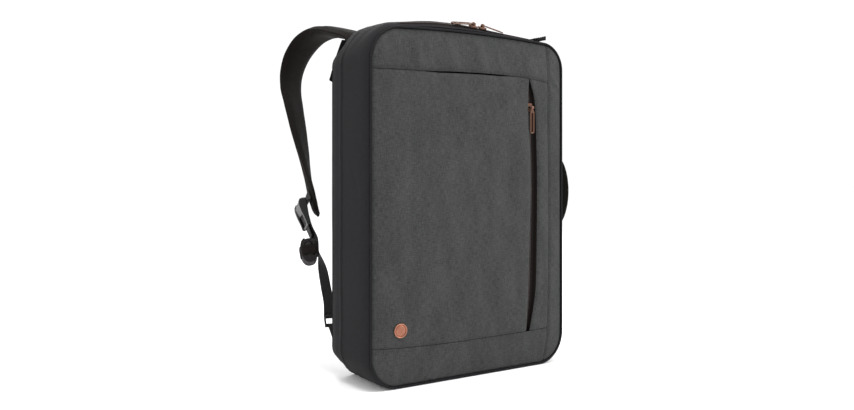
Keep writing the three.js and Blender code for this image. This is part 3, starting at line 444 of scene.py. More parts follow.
def front_zip_line(z):
    """Where the front zip's middle runs inside the gape."""
    return mix(gape_left(z), gape_right(z), FRONT_ZIP_SHARE)


def waviness(x, y, z, size, seed=0):
    """Slow unevenness of stuffed cloth, from -1 to 1."""
    return noise.noise(Vector((x / size + seed, y / size, z / size)))


# Mesh helpers

def placed(name, data):
    """A new object in the scene."""
    obj = bpy.data.objects.new(name, data)
    bpy.context.scene.collection.objects.link(obj)
    return obj


def surface(steps_along, steps_across, place):
    """Rows of points over a surface: place gives the point at shares along and across it."""
    return [[place(i / steps_along, j / steps_across) for j in range(steps_across + 1)]
            for i in range(steps_along + 1)]


def circle(count):
    """Cosine and sine at even steps round a circle."""
    return [(math.cos(math.tau * k / count), math.sin(math.tau * k / count)) for k in range(count)]


def grid_object(name, rows, uvs=None, wrap=False, caps=False, flip=False):
    """A mesh from rows of points in millimetres, with its UV map in metres."""
    across, last = len(rows[0]), len(rows) - 1
    faces, corners = [], []
    for i in range(last):
        for j in range(across if wrap else across - 1):
            k = (j + 1) % across
            face = [i * across + j, i * across + k, (i + 1) * across + k, (i + 1) * across + j]
            corner = [(i, j), (i, j + 1), (i + 1, j + 1), (i + 1, j)]
            faces.append(face[::-1] if flip else face)
            corners.extend(corner[::-1] if flip else corner)
    if caps:
        faces.append(list(range(across))[::-1])
        faces.append([last * across + j for j in range(across)])
        corners.extend([(0, 0)] * across + [(last, 0)] * across)
    mesh = bpy.data.meshes.new(name)
    mesh.from_pydata([p * MM for row in rows for p in row], [], faces)
    layer = mesh.uv_layers.new(name="UVMap")
    uvs = uvs or measured(rows, wrap)
    layer.data.foreach_set("uv", [c for i, j in corners for c in uvs[i][j]])
    mesh.update()
    return placed(name, mesh)


def measured(rows, wrap=False):
    """UVs that follow the real lengths across and along a grid, in metres."""
    grid = np.array([[tuple(p) for p in row] for row in rows]) * MM
    if wrap:
        grid = np.concatenate([grid, grid[:, :1]], axis=1)
    across = np.linalg.norm(np.diff(grid, axis=1), axis=2).mean(axis=0)
    along = np.linalg.norm(np.diff(grid, axis=0), axis=2).mean(axis=1)
    u = np.concatenate([[0], np.cumsum(across)])
    v = np.concatenate([[0], np.cumsum(along)])
    return [[(float(a), float(b)) for a in u] for b in v]


def finished(obj, angle=40):
    """Applies the modifiers, smooths the shading and keeps edges over the angle sharp."""
    graph = bpy.context.evaluated_depsgraph_get()
    final = obj.evaluated_get(graph)
    mesh = bpy.data.meshes.new_from_object(final, preserve_all_data_layers=True, depsgraph=graph)
    obj.modifiers.clear()
    obj.data = mesh
    mesh.shade_smooth()
    mesh.set_sharp_from_angle(angle=math.radians(angle))
    return obj


def closed(name, rows, angle, uvs=None, caps=True):
    """A piece closed round its rows, its faces outwards and its edges over the angle sharp."""
    return finished(turned_out(grid_object(name, rows, uvs, wrap=True, caps=caps)), angle)


def modify(obj, kind, **settings):
    """Adds a modifier with its settings."""
    modifier = obj.modifiers.new(kind.lower(), kind)
    for key, value in settings.items():
        setattr(modifier, key, value)


def turned_out(obj):
    """Makes a closed mesh's faces look outwards."""
    work = bmesh.new()
    work.from_mesh(obj.data)
    bmesh.ops.remove_doubles(work, verts=work.verts, dist=1e-6)
    bmesh.ops.recalc_face_normals(work, faces=work.faces)
    work.to_mesh(obj.data)
    work.free()
    return obj


def thick(obj, millimetres, bevel=0.0, angle=40):
    """Gives a sheet its wall, behind its face, with rounded rims."""
    modify(obj, "SOLIDIFY", thickness=millimetres * MM, offset=-1, use_even_offset=False)
    if bevel:
        modify(obj, "BEVEL", width=bevel * MM, segments=2, limit_method="ANGLE",
               angle_limit=math.radians(50))
    return finished(obj, angle)


def round_off(obj, voxel, passes):
    """Joins a piece's parts into one skin with softly moulded edges."""
    modify(obj, "REMESH", mode="VOXEL", voxel_size=voxel * MM)
    modify(obj, "SMOOTH", factor=0.5, iterations=passes)
    return finished(obj, 60)


def softened(name, node, voxel, passes):
    """A copy of a frame solid with its edges rounded as moulding or casting leaves them."""
    obj = placed(name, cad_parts[node].data.copy())
    obj.data.materials.clear()
    return round_off(turned_out(obj), voxel, passes)


def dress(obj, finish_name, slot, *nodes, body=BODY):
    """Gives a piece its finish and its place in the frame."""
    if not obj.data.materials:
        obj.data.materials.append(finish(finish_name))
    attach(obj, body)
    if nodes:
        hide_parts(*nodes)
    return obj


# Geometry Nodes: small pieces set along a path

def add(tree, kind, inputs=None, **settings):
    """Adds a node with its settings and links. An input takes a value, a socket or a whole node, which
    stands for its first output."""
    node = tree.nodes.new(kind)
    for key, value in settings.items():
        setattr(node, key, value)
    for key, value in (inputs or {}).items():
        if isinstance(value, bpy.types.Node):
            value = value.outputs[0]
        if isinstance(value, bpy.types.NodeSocket):
            tree.links.new(value, node.inputs[key])
        else:
            node.inputs[key].default_value = value
    return node


def path_tree():
    """Sets rounded pieces along a path at a spacing, square to the path's stored outward direction."""
    tree = bpy.data.node_groups.new("Pieces along a path", "GeometryNodeTree")
    face = tree.interface
    face.new_socket("Geometry", in_out="INPUT", socket_type="NodeSocketGeometry")
    for name in ("Spacing", "Length", "Width", "Height"):
        face.new_socket(name, in_out="INPUT", socket_type="NodeSocketFloat")
    face.new_socket("Finish", in_out="INPUT", socket_type="NodeSocketMaterial")
    face.new_socket("Geometry", in_out="OUTPUT", socket_type="NodeSocketGeometry")
    given = add(tree, "NodeGroupInput").outputs
    curve = add(tree, "GeometryNodeMeshToCurve", {"Mesh": given["Geometry"]})
    even = add(tree, "GeometryNodeResampleCurve", {"Curve": curve, "Length": given["Spacing"]},
               mode="LENGTH")
    out = add(tree, "GeometryNodeInputNamedAttribute", {"Name": "out"}, data_type="FLOAT_VECTOR")
    ahead = add(tree, "GeometryNodeInputTangent")
    turn = add(tree, "FunctionNodeAxesToRotation", {0: ahead, 1: out.outputs["Attribute"]},
               primary_axis="X", secondary_axis="Z")
    size = add(tree, "ShaderNodeCombineXYZ",
               {"X": given["Length"], "Y": given["Width"], "Z": given["Height"]})
    bead = add(tree, "GeometryNodeMeshIcoSphere", {"Radius": 0.5, "Subdivisions": 2})
    beads = add(tree, "GeometryNodeInstanceOnPoints",
                {"Points": even, "Instance": bead, "Rotation": turn, "Scale": size})
    real = add(tree, "GeometryNodeRealizeInstances", {"Geometry": beads})
    smooth = add(tree, "GeometryNodeSetShadeSmooth", {"Geometry": real})
    painted = add(tree, "GeometryNodeSetMaterial", {"Geometry": smooth, "Material": given["Finish"]})
    add(tree, "NodeGroupOutput", {"Geometry": painted})
    return tree


def pieces_along(name, paths, spacing, length, width, height, material):
    """One mesh of small pieces along several paths of (point, outward direction), in millimetres."""
    verts, edges, outs = [], [], []
    for path in paths:
        start = len(verts)
        verts.extend(p * MM for p, _ in path)
        outs.extend(out for _, out in path)
        edges.extend((start + i, start + i + 1) for i in range(len(path) - 1))
    mesh = bpy.data.meshes.new(name)
    mesh.from_pydata(verts, edges, [])
    out = mesh.attributes.new("out", "FLOAT_VECTOR", "POINT")
    out.data.foreach_set("vector", [c for v in outs for c in v])
    obj = placed(name, mesh)
    tree = bpy.data.node_groups.get("Pieces along a path") or path_tree()
    run = obj.modifiers.new("run", "NODES")
    run.node_group = tree
    sockets = {item.name: item.identifier for item in tree.interface.items_tree if item.in_out == "INPUT"}
    for key, value in zip(("Spacing", "Length", "Width", "Height"), (spacing, length, width, height)):
        run[sockets[key]] = value * MM
    run[sockets["Finish"]] = material
    graph = bpy.context.evaluated_depsgraph_get()
    result = bpy.data.meshes.new_from_object(obj.evaluated_get(graph), depsgraph=graph)
    obj.modifiers.clear()
    obj.data = result
    return obj


def stitches(name, paths, thread_finish, slot):
    """Rows of thread stitches that lie a little proud of the cloth."""
    stitch, gap, width = (size / MM for size in (sizes().stitch, sizes().stitch_gap, sizes().stitch_width))
    obj = pieces_along(name, paths, stitch + gap, stitch, width, width, finish(thread_finish))
    return dress(obj, thread_finish, slot)


# Materials

def shader(name, values):
    """A new material: its node tree, its shader with the values that hold all over, and its maps."""
    material = bpy.data.materials.new(name)
    material.use_nodes = True
    tree = material.node_tree
    tree.nodes.clear()
    base = add(tree, "ShaderNodeBsdfPrincipled", values)
    add(tree, "ShaderNodeOutputMaterial", {"Surface": base})
    return material, tree, base, add(tree, "ShaderNodeTexCoord").outputs


def crossed_bands(tree, vector, pitch_x, pitch_y):
    """Waves across each direction of the map, at pitches in millimetres."""
    waves = []
    for direction, pitch in (("X", pitch_x), ("Y", pitch_y)):
        # A wave texture's bands lie 2 pi / 20 apart at scale 1
        scale = math.tau / 20 / (pitch * MM)
        inputs = {"Vector": vector, "Scale": scale, "Distortion": 0.6, "Detail": 1.0}
        wave = add(tree, "ShaderNodeTexWave", inputs, wave_type="BANDS", bands_direction=direction)
        waves.append(wave.outputs["Fac"])
    return waves


def grain(tree, vector, size, detail=3.0, rough=0.6, stretch=(1, 1, 1)):
    """Marks about a size in millimetres, stretched along an axis of the map."""
    mapped = add(tree, "ShaderNodeMapping", {"Vector": vector, "Scale": stretch})
    return add(tree, "ShaderNodeTexNoise", {
        "Vector": mapped, "Scale": 1 / (size * MM), "Detail": detail, "Roughness": rough,
    }).outputs["Fac"]


def weighted(tree, *parts, start=0.0):
    """Adds patterns up, each times its weight, on a start value."""
    total = start
    for pattern, weight in parts:
        total = add(tree, "ShaderNodeMath", {0: pattern, 1: weight, 2: total}, operation="MULTIPLY_ADD")
    return total


def coloured(tree, base, shade, colours, height=None, depth=0.0):
    """Colours a surface from dark to light by its shade, with relief of a depth in millimetres."""
    dark, light = colours
    colour = add(tree, "ShaderNodeMix", {0: shade, 6: (*dark, 1), 7: (*light, 1)}, data_type="RGBA")
    tree.links.new(colour.outputs[2], base.inputs["Base Color"])
    if height:
        relief = add(tree, "ShaderNodeBump", {"Height": height, "Strength": 1.0, "Distance": depth * MM})
        tree.links.new(relief.outputs[0], base.inputs["Normal"])


def woven(name, key, pitch, relief, mottle, roughness, contrast=0.5, heather=0.0):
    """Plain-woven cloth. pitch is the thread spacing and mottle the size of its uneven patches, in
    millimetres. contrast is how much the patches show, and heather how much single threads differ."""
    material, tree, base, maps = shader(name, {
        "Roughness": roughness, "Sheen Weight": 0.02, "Sheen Roughness": 0.5, "Specular IOR Level": 0.1,
    })
    cloth = maps["UV"]
    warp, weft = crossed_bands(tree, cloth, pitch, pitch)
    weave = add(tree, "ShaderNodeMath", {0: warp, 1: weft}, operation="MULTIPLY")
    patches = grain(tree, cloth, mottle, detail=4)
    reach = 0.18 / contrast
    shade = add(tree, "ShaderNodeMapRange",
                {"Value": patches, "From Min": 0.5 - reach, "From Max": 0.5 + reach})
    if heather:
        # Single warp and weft threads are paler or darker along a short way
        lengthwise = grain(tree, cloth, pitch * 1.1, detail=2, stretch=(1, 0.14, 1))
        crosswise = grain(tree, cloth, pitch * 1.1, detail=2, stretch=(0.14, 1, 1))
        both = weighted(tree, (lengthwise, 1), (crosswise, 1))
        threads = add(tree, "ShaderNodeMapRange", {"Value": both, "From Min": 0.68, "From Max": 1.32})
        mottled = add(tree, "ShaderNodeMix", {0: heather, 2: shade, 3: threads})
        slow = grain(tree, cloth, 26, stretch=(1, 0.35, 1))
        streaks = add(tree, "ShaderNodeMapRange", {"Value": slow, "From Min": 0.3, "From Max": 0.7})
        shade = weighted(tree, (mottled, 0.72), (streaks, 0.26))
    coloured(tree, base, shade, tones(key), weighted(tree, (weave, 1), (patches, 0.5)), relief)
    return material


def charcoal_canvas():
    """Heathered polyester canvas: threads of two greys give a fine mottled charcoal."""
    pitch = sizes().canvas_thread / MM
    return woven("Charcoal heather canvas, woven", "canvas", pitch, 0.18, 2.0, 0.92, 0.6, heather=0.8)


def dark_nylon():
    """Nylon twill: finer and smoother than the canvas, nearly black and evenly dull."""
    return woven("Dark nylon twill, woven", "nylon", sizes().nylon_thread / MM, 0.08, 5, 0.8, 0.4)


def piping_cloth():
    """Bias-cut cloth round a cord: a fine weave that stays the darkest line on the bag."""
    return woven("Black piping cloth, wrapped", "piping", 0.7, 0.08, 5, 0.75, 0.4)


def strap_cloth():
    """Brushed polyester over foam: black with a warm cast and a soft nap."""
    return woven("Black strap cloth, brushed", "strap", 0.8, 0.10, 4, 0.88)


def handle_cloth():
    """Matt padded cloth, a little warmer than the strap's."""
    return woven("Black handle cloth, padded", "handle", 0.8, 0.10, 4, 0.9)


def zip_tape_cloth():
    """Polyester tape: dark brown, with fine ribs along the coil."""
    return woven("Brown zip tape, woven", "tape", 0.6, 0.08, 3, 0.85)


def webbing_cloth():
    """Polypropylene webbing: coarse ribs straight across the strap, with a slight shine, and painted shade
    between the ribs.
    """
    material, tree, base, maps = shader("Black webbing, ribbed",
                                        {"Roughness": 0.78, "Specular IOR Level": 0.2})
    cords, ribs = crossed_bands(tree, maps["UV"], 2.4, sizes().webbing_rib / MM)
    height = weighted(tree, (ribs, 1), (cords, 0.6))
    # Colour follows the rib height: painted shade between the ribs and painted highlight on their crests,
    # mixed with random patches of tone
    shade = weighted(tree, (height, 0.35), (grain(tree, maps["UV"], 6), 0.4))
    coloured(tree, base, shade, tones("webbing"), height, 0.2)
    return material


def air_mesh():
    """Knitted spacer mesh: small round holes, coloured darker with painted shade."""
    material, tree, base, maps = shader("Black air mesh, knitted",
                                        {"Roughness": 0.9, "Specular IOR Level": 0.15})
    cells = add(tree, "ShaderNodeTexVoronoi",
                {"Vector": maps["UV"], "Scale": 1 / sizes().mesh_hole, "Randomness": 0.15})
    hole = add(tree, "ShaderNodeMapRange",
               {"Value": cells.outputs["Distance"], "From Min": 0.5, "From Max": 0.26})
    # The same mask gives the holes their dark colour, as painted shade, and sinks them as relief
    coloured(tree, base, hole, tones("mesh")[::-1], weighted(tree, (hole, -1), start=1.0), 0.4)
    return material


def thread(name, code):
    """Bonded polyester thread: twisted, with a slight gloss."""
    material, tree, base, maps = shader(name, {"Roughness": 0.6, "Specular IOR Level": 0.2})
    twist = grain(tree, maps["Object"], 0.8, detail=1, stretch=(1, 1, 3))
    coloured(tree, base, twist, [[min(c * strength, 1) for c in linear(code)] for strength in (0.75, 1.3)])
    return material


def coil_nylon():
    """Extruded nylon coil: dark brown, smooth enough to catch small highlights."""
    material, tree, base, maps = shader("Brown nylon coil, extruded", {"Roughness": 0.42})
    coloured(tree, base, grain(tree, maps["Object"], 5), tones("coil"))
    return material


def plated_copper(name, key, roughness):
    """Copper plate on die-cast zinc: satin, darker in its hollows, worn paler along its edges."""
    material, tree, base, maps = shader(name, {"Metallic": 1.0})
    wear = grain(tree, maps["Object"], 2.5, detail=5, rough=0.7)
    edges = add(tree, "ShaderNodeNewGeometry").outputs["Pointiness"]
    worn = add(tree, "ShaderNodeMapRange", {"Value": edges, "From Min": 0.47, "From Max": 0.57})
    hollow = add(tree, "ShaderNodeAttribute", attribute_name="hollow").outputs["Fac"]
    shade = weighted(tree, (wear, 0.35), (worn, 0.7), (hollow, -0.75))
    scratches = grain(tree, maps["Object"], 1.2, stretch=(1, 1, 0.2))
    dullness = weighted(tree, (scratches, 0.22), start=roughness)
    tree.links.new(dullness.outputs[0], base.inputs["Roughness"])
    coloured(tree, base, shade, tones(key), scratches, 0.02)
    return material


def acetal(name, key, roughness):
    """Injection-moulded acetal: near black, with a glossy skin and faint spark-eroded grain."""
    material, tree, base, maps = shader(name,
                                        {"Roughness": roughness, "IOR": 1.48, "Specular IOR Level": 0.35})
    marks, skin = grain(tree, maps["Object"], 7, detail=2), grain(tree, maps["Object"], 0.5, detail=1)
    coloured(tree, base, marks, tones(key), skin, 0.015)
    return material


def pale_floor():
    """Matt white studio paper."""
    material, tree, base, maps = shader("White studio paper, matt", {"Roughness": 0.95})
    coloured(tree, base, grain(tree, maps["Object"], 900, detail=1), (linear("FAFAFA"), linear("FEFEFE")))
    return material


FINISHES = {}


def finish(name):
    """Each finish is made once, when it is first wanted."""
    makers = {
        "canvas": charcoal_canvas, "nylon": dark_nylon, "piping": piping_cloth, "mesh": air_mesh,
        "strap": strap_cloth, "handle": handle_cloth, "webbing": webbing_cloth, "tape": zip_tape_cloth,
        "coil": coil_nylon,
        "copper": lambda: plated_copper("Antique copper plate, satin", "copper", 0.3),
        "rivet": lambda: plated_copper("Copper-plated rivet, brushed", "rivet", 0.34),
        "buckle": lambda: acetal("Black acetal, moulded", "buckle", 0.34),
        "loop": lambda: acetal("Black nylon loop, moulded", "loop", 0.35),
        "grey_thread": lambda: thread("Grey thread, bonded", "2C2D2E"),
        "black_thread": lambda: thread("Black thread, bonded", "171616"),
    }
    if name not in FINISHES:
        FINISHES[name] = makers[name]()
    return FINISHES[name]


# Front

# How an edge turns in: width of the turn, its deepest, the general sink, and the calm cloth beside it
EDGE_ROLL = 1.7
DEEPEST_ROLL = 1.8
EDGE_SINK = 0.5
CALM_EDGE = 10
STITCH_PROUD = 0.35
STITCH_INSET = 3.2

# Soft upright folds in the top band: place across in millimetres, width, height
BAND_FOLDS = [(-118, 6, 1.1), (-92, 7, 1.5), (-66, 6, -1.0), (-40, 8, 1.4), (-12, 6, 1.0), (6, 4.5, 1.7),
              (22, 5, -1.3), (38, 5, 1.8), (56, 4, -1.2), (72, 7, 1.3), (98, 6, 1.0)]


def front_relief(name, x, z):
    """How far the cloth stands proud of the plain front, in millimetres."""
    lift = 0.9 * waviness(x, 0, z, 70) + 0.4 * waviness(x, 0, z, 24, 5)
    if name == "front_top_band":
        held = step(edge_top(x), edge_top(x) - 16, z) * step(top_seam(x), top_seam(x) + 8, z)
        lean = 0.14 * (z - 400) + 3 * waviness(x, 0, z, 40, 8)
        lift += held * sum(height * bump(x + lean, at, width) for at, width, height in BAND_FOLDS)
    if name == "front_side_strip":
        lift += 1.8 * bump(z + 0.9 * (x - 140), 396, 4) - 1.1 * bump(z + 0.9 * (x - 140), 387, 5)
        lift += 0.5 * bump(z + 0.6 * (x - 140), 372, 5) + 0.5 * bump(z - 0.5 * (x - 140), 52, 6)
    if name == "front_pocket":
        slant = step(95, 20, x) * step(-60, 10, x)
        lift += slant * (1.2 * bump(z - 0.35 * x, 366, 7) - 1.0 * bump(z - 0.35 * x, 352, 8))
    return lift * sizes().unevenness


def front_piece(name, left, right, low, high, columns, rows, roll):
    """One piece of the front. roll gives how deep each edge turns in: left, right, low, high."""
    seam = CLEARANCE / 2
    grid = []
    for up in rows:
        line = []
        for across in columns:
            x = mix(left(PANEL_MIDDLE) + seam, right(PANEL_MIDDLE) - seam, across)
            # The edges curve both ways, so the place is found in a few rounds
            for _ in range(6):
                z = mix(low(x) + seam, high(x) - seam, up)
                x = mix(left(z) + seam, right(z) - seam, across)
            z = mix(low(x) + seam, high(x) - seam, up)
            width, height = right(z) - left(z), max(high(x) - low(x), 1)
            reach = [across * width, (1 - across) * width, up * height, (1 - up) * height]
            turn = sum(depth * math.exp(-(d / EDGE_ROLL) ** 2) for d, depth in zip(reach, roll))
            nearest = min(reach)
            sunk = min(turn, DEEPEST_ROLL) + EDGE_SINK * math.exp(-nearest / 5)
            y = front_face(x, z) - front_relief(name, x, z) * step(0, CALM_EDGE, nearest) + sunk
            line.append(Vector((x, y, z)))
        grid.append(line)
    obj = grid_object(name + "_cloth", grid, [[p.xz * MM for p in line] for line in grid])
    return thick(obj, sizes().canvas_wall / MM, 0.25)


def shares(ends, steps):
    """Even shares along a length, with the given close ones at both ends for the turned edges."""
    first, last = ends[-1], 1 - ends[-1]
    inner = [mix(first, last, i / steps) for i in range(steps + 1)]
    return [*ends[:-1], *inner, *[1 - end for end in ends[-2::-1]]]


def make_front():
    """The five pieces of the front, sewn edge to edge."""
    def left_side(z):
        return -HALF_WIDTH - CLEARANCE / 2

    def right_side(z):
        return HALF_WIDTH + CLEARANCE / 2

    def pocket_top(x):
        return top_seam(x) - CLOTH_WALL * SLIP_MOUTH(x / HALF_WIDTH)

    wide = shares((0, 0.004, 0.010, 0.018, 0.028), 90)
    tall = shares((0, 0.003, 0.007, 0.013, 0.02), 120)
    short = shares((0, 0.02, 0.05, 0.1, 0.16), 12)
    pieces = {
        "front_pocket": (left_side, gape_left, bottom_seam, pocket_top, wide, tall, (0.9, 1.5, 1.0, 1.5)),
        "front_top_band": (left_side, side_seam, top_seam, edge_top, wide, short, (0.9, 1.1, 1.5, 0.9)),
        "front_bottom_band": (left_side, side_seam, edge_bottom, bottom_seam, wide, short,
                              (0.9, 1.1, 0.9, 1.0)),
        "front_placket": (gape_right, side_seam, bottom_seam, top_seam, short, tall, (1.5, 1.1, 1.0, 1.0)),
        "front_side_strip": (side_seam, right_side, edge_bottom, edge_top, short, tall,
                             (1.1, 0.9, 0.9, 0.9)),
    }
    for name, piece in pieces.items():
        dress(front_piece(name, *piece), "canvas", "front_fabric", name)
    stitches("front_stitches", front_stitch_paths(), "grey_thread", "front_fabric")


def front_stitch_paths():
    """Topstitching above the slip pocket, under the pocket and beside the side seam."""
    def on_face(x, z):
        return Vector((x, front_face(x, z) - STITCH_PROUD, z)), Vector((0, -1, 0))

    xs = np.linspace(-HALF_WIDTH + 6, side_seam(400) - 4, 90)
    zs = np.linspace(edge_bottom(128) + 8, edge_top(128) - 8, 120)
    return [
        [on_face(x, top_seam(x) + STITCH_INSET) for x in xs],
        [on_face(x, bottom_seam(x) - STITCH_INSET) for x in xs],
        [on_face(side_seam(z) + STITCH_INSET, z) for z in zs],
    ]


# Gusset

# Creases of the sides, dents of the top left and the fullness behind the top pulls: x, y, z of the
# middle, direction, length, width, height
CREASES = [
    ((-160, -40, 238), (0, -0.75, -0.66), 13, 3.2, -1.3),
    ((-160, -36, 243), (0, -0.75, -0.66), 12, 3.0, 0.6),
    ((-160, -20, 256), (0, -0.4, -0.92), 26, 5, -0.5),
    ((-140, -20, 440), (0.5, -0.5, 0.7), 22, 7, -0.9),
    ((-118, 0, 455), (0.2, -0.95, 0), 26, 9, -0.9),
    ((-150, 20, 425), (0.2, -0.6, 0.75), 24, 8, -0.8),
    ((-158, 30, 60), (0, -0.5, 0.85), 28, 9, -0.7),
    ((160, 10, 330), (0, 0.3, 0.95), 40, 8, -0.6),
    ((160, -15, 120), (0, -0.3, 0.95), 40, 8, -0.6),
    ((50, -23, 457), (1, 0, -0.06), 34, 10, 2.6),
    ((18, -8, 460), (1, 0, -0.04), 42, 20, 3.2),
    ((60, 8, 456), (0.9, 0.3, 0), 26, 9, -1.0),
]


def gusset_relief(x, y, z):
    """How far the gusset's cloth stands proud of its plain swell, in millimetres."""
    here = Vector((x, y, z))
    lift = 0.45 * waviness(x, y, z, 60, 2) + 0.18 * waviness(x, y, z, 22, 9)
    for middle, direction, length, width, height in CREASES:
        away = here - Vector(middle)
        if away.length > 3 * length:
            continue
        along = Vector(direction).normalized()
        run = away.dot(along)
        aside = (away - along * run).length
        lift += height * math.exp(-(run / length) ** 2 - (aside / width) ** 2)
    # Small gathers where the cloth is sewn into the piping
    sewn = math.exp((FRONT_SEAM - y) / 5) + math.exp((y - BACK_SEAM) / 5)
    gather = math.sin((x * 0.9 + z) / 4.2) * (0.6 + 0.4 * waviness(x, y, z, 30, 4))
    lift += 0.22 * sizes().gathers * sewn * gather
    # The cloth lies flat near the floor
    return lift * step(24, 44, z) * sizes().unevenness


def gusset_part(name, depths, slot=None):
    """A ring of the gusset between two depths, with the zip's slot left out."""
    rings = [ring_at(depth, 0, gusset_relief) for depth in depths]
    lengths = [0]
    for a, b in zip(rings[0], rings[0][1:] + rings[0][:1]):
        lengths.append(lengths[-1] + (b - a).length * MM)
    uvs = [[(length, ring[0].y * MM) for length in lengths] for ring in rings]
    obj = grid_object(name + "_cloth", rings, uvs, wrap=True, flip=True)
    if slot:
        cut_slot(obj, *slot)
    dress(thick(obj, CLOTH_WALL, 0.3), "nylon", "gusset_nylon", name)


def cut_slot(obj, half_length, near, far):
    """Takes out the faces over the zip."""
    work = bmesh.new()
    work.from_mesh(obj.data)
    gone = []
    for face in work.faces:
        c = face.calc_center_median() / MM
        if abs(c.x) < half_length and near < c.y < far and c.z > PANEL_MIDDLE:
            gone.append(face)
    bmesh.ops.delete(work, geom=gone, context="FACES")
    work.to_mesh(obj.data)
    work.free()


def make_gusset():
    """Both rings of the gusset, finely stepped where they bend most, and the ridge's stitches."""
    near = (ZIP_SETBACK - ZIP_WIDTH / 2) / BODY_DEPTH
    far = (ZIP_SETBACK + ZIP_WIDTH / 2) / BODY_DEPTH
    start = BAND_REST / BODY_DEPTH
    seam = CLEARANCE / 2 / BODY_DEPTH
    main = [start, 0.024, 0.032, near, 0.055, 0.07, 0.085, 0.10, 0.12, far]
    main += [mix(far, 0.60, i / 20) for i in range(1, 21)] + [0.615, 0.63, 0.64, 0.65, 0.658, RIDGE - seam]
    back = [RIDGE + seam, 0.676, 0.684, 0.694, 0.705, 0.72, *[mix(0.74, 0.94, i / 10) for i in range(11)],
            0.955, 0.97, 1 - start]
    y_near, y_far = (mix(FRONT_SEAM, BACK_SEAM, depth) for depth in (near, far))
    gusset_part("gusset_main", main, (ZIP_SPAN / 2, y_near, y_far))
    gusset_part("gusset_back", back)
    beside = ring_at(RIDGE - 0.035, -0.25)
    ridge = [(p, Vector((across, 0, up))) for p, (_, _, across, up) in zip(beside, SEAM_LINE)]
    ridge.append(ridge[0])
    # The first 60 points are under the bag, where no stitch shows
    stitches("gusset_stitches", [ridge[60:]], "black_thread", "gusset_nylon")


def make_piping():
    """Cord in bias-cut cloth along both seams of the panel."""
    for name, depth in (("front_piping", 0), ("back_piping", 1)):
        centre = ring_at(depth, EDGE_OFFSET - CLEARANCE - PIPING_RADIUS)
        rows = []
        for p, (_, _, across, up) in zip(centre, SEAM_LINE):
            out = Vector((across, 0, up)).normalized()
            radius = PIPING_RADIUS * (1 + 0.03 * waviness(p.x, p.y, p.z, 8))
            rows.append([p + (out * c + Vector((0, s, 0))) * radius for c, s in circle(12)])
        rows.append(rows[0])
        dress(closed(name + "_cord", rows, 80, caps=False), "piping", "piping", name)


# Loops of the back from its seam to its middle, as shares of the way out
BACK_LOOPS = (1, 0.994, 0.987, 0.975, 0.96, 0.94, 0.91, 0.87, 0.82, 0.75, 0.66, 0.56, 0.45, 0.34, 0.23,
              0.13, 0.05, 0.002)


def make_back():
    """Padded back, crowned between its seams."""
    edge = ring_at(1, EDGE_OFFSET)
    loops = [[Vector((p.x, BACK_SEAM - BACK_PADDING, p.z)) for p in edge]]
    for share in BACK_LOOPS:
        ring = []
        for p in edge:
            x, z = p.x * share, mix(PANEL_MIDDLE, p.z, share)
            uneven = 0.5 * waviness(x, 0, z, 60, 7) * (1 - share ** 6)
            ring.append(Vector((x, BACK_SEAM if share == 1 else back_face(x, z) + uneven, z)))
        loops.append(ring)
    uvs = [[p.xz * MM for p in ring + ring[:1]] for ring in loops]
    obj = dress(closed("back_panel_pad", loops, 50, uvs), "mesh", "back_mesh", "back_panel")
    rim = []
    for p in edge:
        x, z = p.x * 0.955, mix(PANEL_MIDDLE, p.z, 0.965)
        rim.append((Vector((x, back_face(x, z) + STITCH_PROUD, z)), Vector((0, 1, 0))))
    stitches("back_stitches", [rim + rim[:1]], "black_thread", "back_mesh")


# Flap and end tab

FLAP_TOP = PANEL_TOP - CLOTH_WALL
FLAP_END_LIFT = 3


def flap_half_width(z):
    """The flap widens a little towards its free edge."""
    return HALF_WIDTH * mix(0.90, 0.97, (FLAP_TOP - z) / FLAP_DROP)


def flap_inner(x, z):
    """The flap hangs further off the back towards its free edge."""
    return back_face(x, z) + BAND_REST + FLAP_LIFT * max((FLAP_TOP - z) / FLAP_DROP, 0) ** 1.3


def make_flap():
    """Flap over the strap pocket, with a hem and ends that stand off."""
    columns, rows = 90, 26

    def place(down, share):
        z = FLAP_TOP - FLAP_DROP * down
        across = mix(-1, 1, share)
        x = flap_half_width(z) * across
        corner = 0.035 * PANEL_CORNER * abs(across) ** 8 * (1 - down) ** 4
        low = 3.0 * abs(across) ** 30 * down ** 6
        wave = 0.5 * down * math.sin(x / 23) + 0.4 * down * waviness(x, 0, z, 40, 3)
        rim = 0.35 * math.exp(-((1 - down) * FLAP_DROP / 2.2) ** 2)
        proud = FLAP_END_LIFT * step(0.80, 0.97, abs(across)) * math.sin(math.pi * down) ** 0.7
        y = flap_inner(x, z) + CLOTH_WALL - 0.3 + 0.35 * wave + rim + proud
        return Vector((x, y, z - corner + low))

    grid = surface(rows, columns, place)
    obj = grid_object("strap_flap_cloth", grid, [[p.xz * MM for p in line] for line in grid])
    dress(thick(obj, CLOTH_WALL - 0.4, 0.4), "nylon", "gusset_nylon", "strap_flap")
    out = Vector((0, 1, 0))
    hem = [(p + out * STITCH_PROUD, out) for p in grid[rows - 2][3:columns - 2]]
    stitches("flap_stitches", [hem], "black_thread", "gusset_nylon")


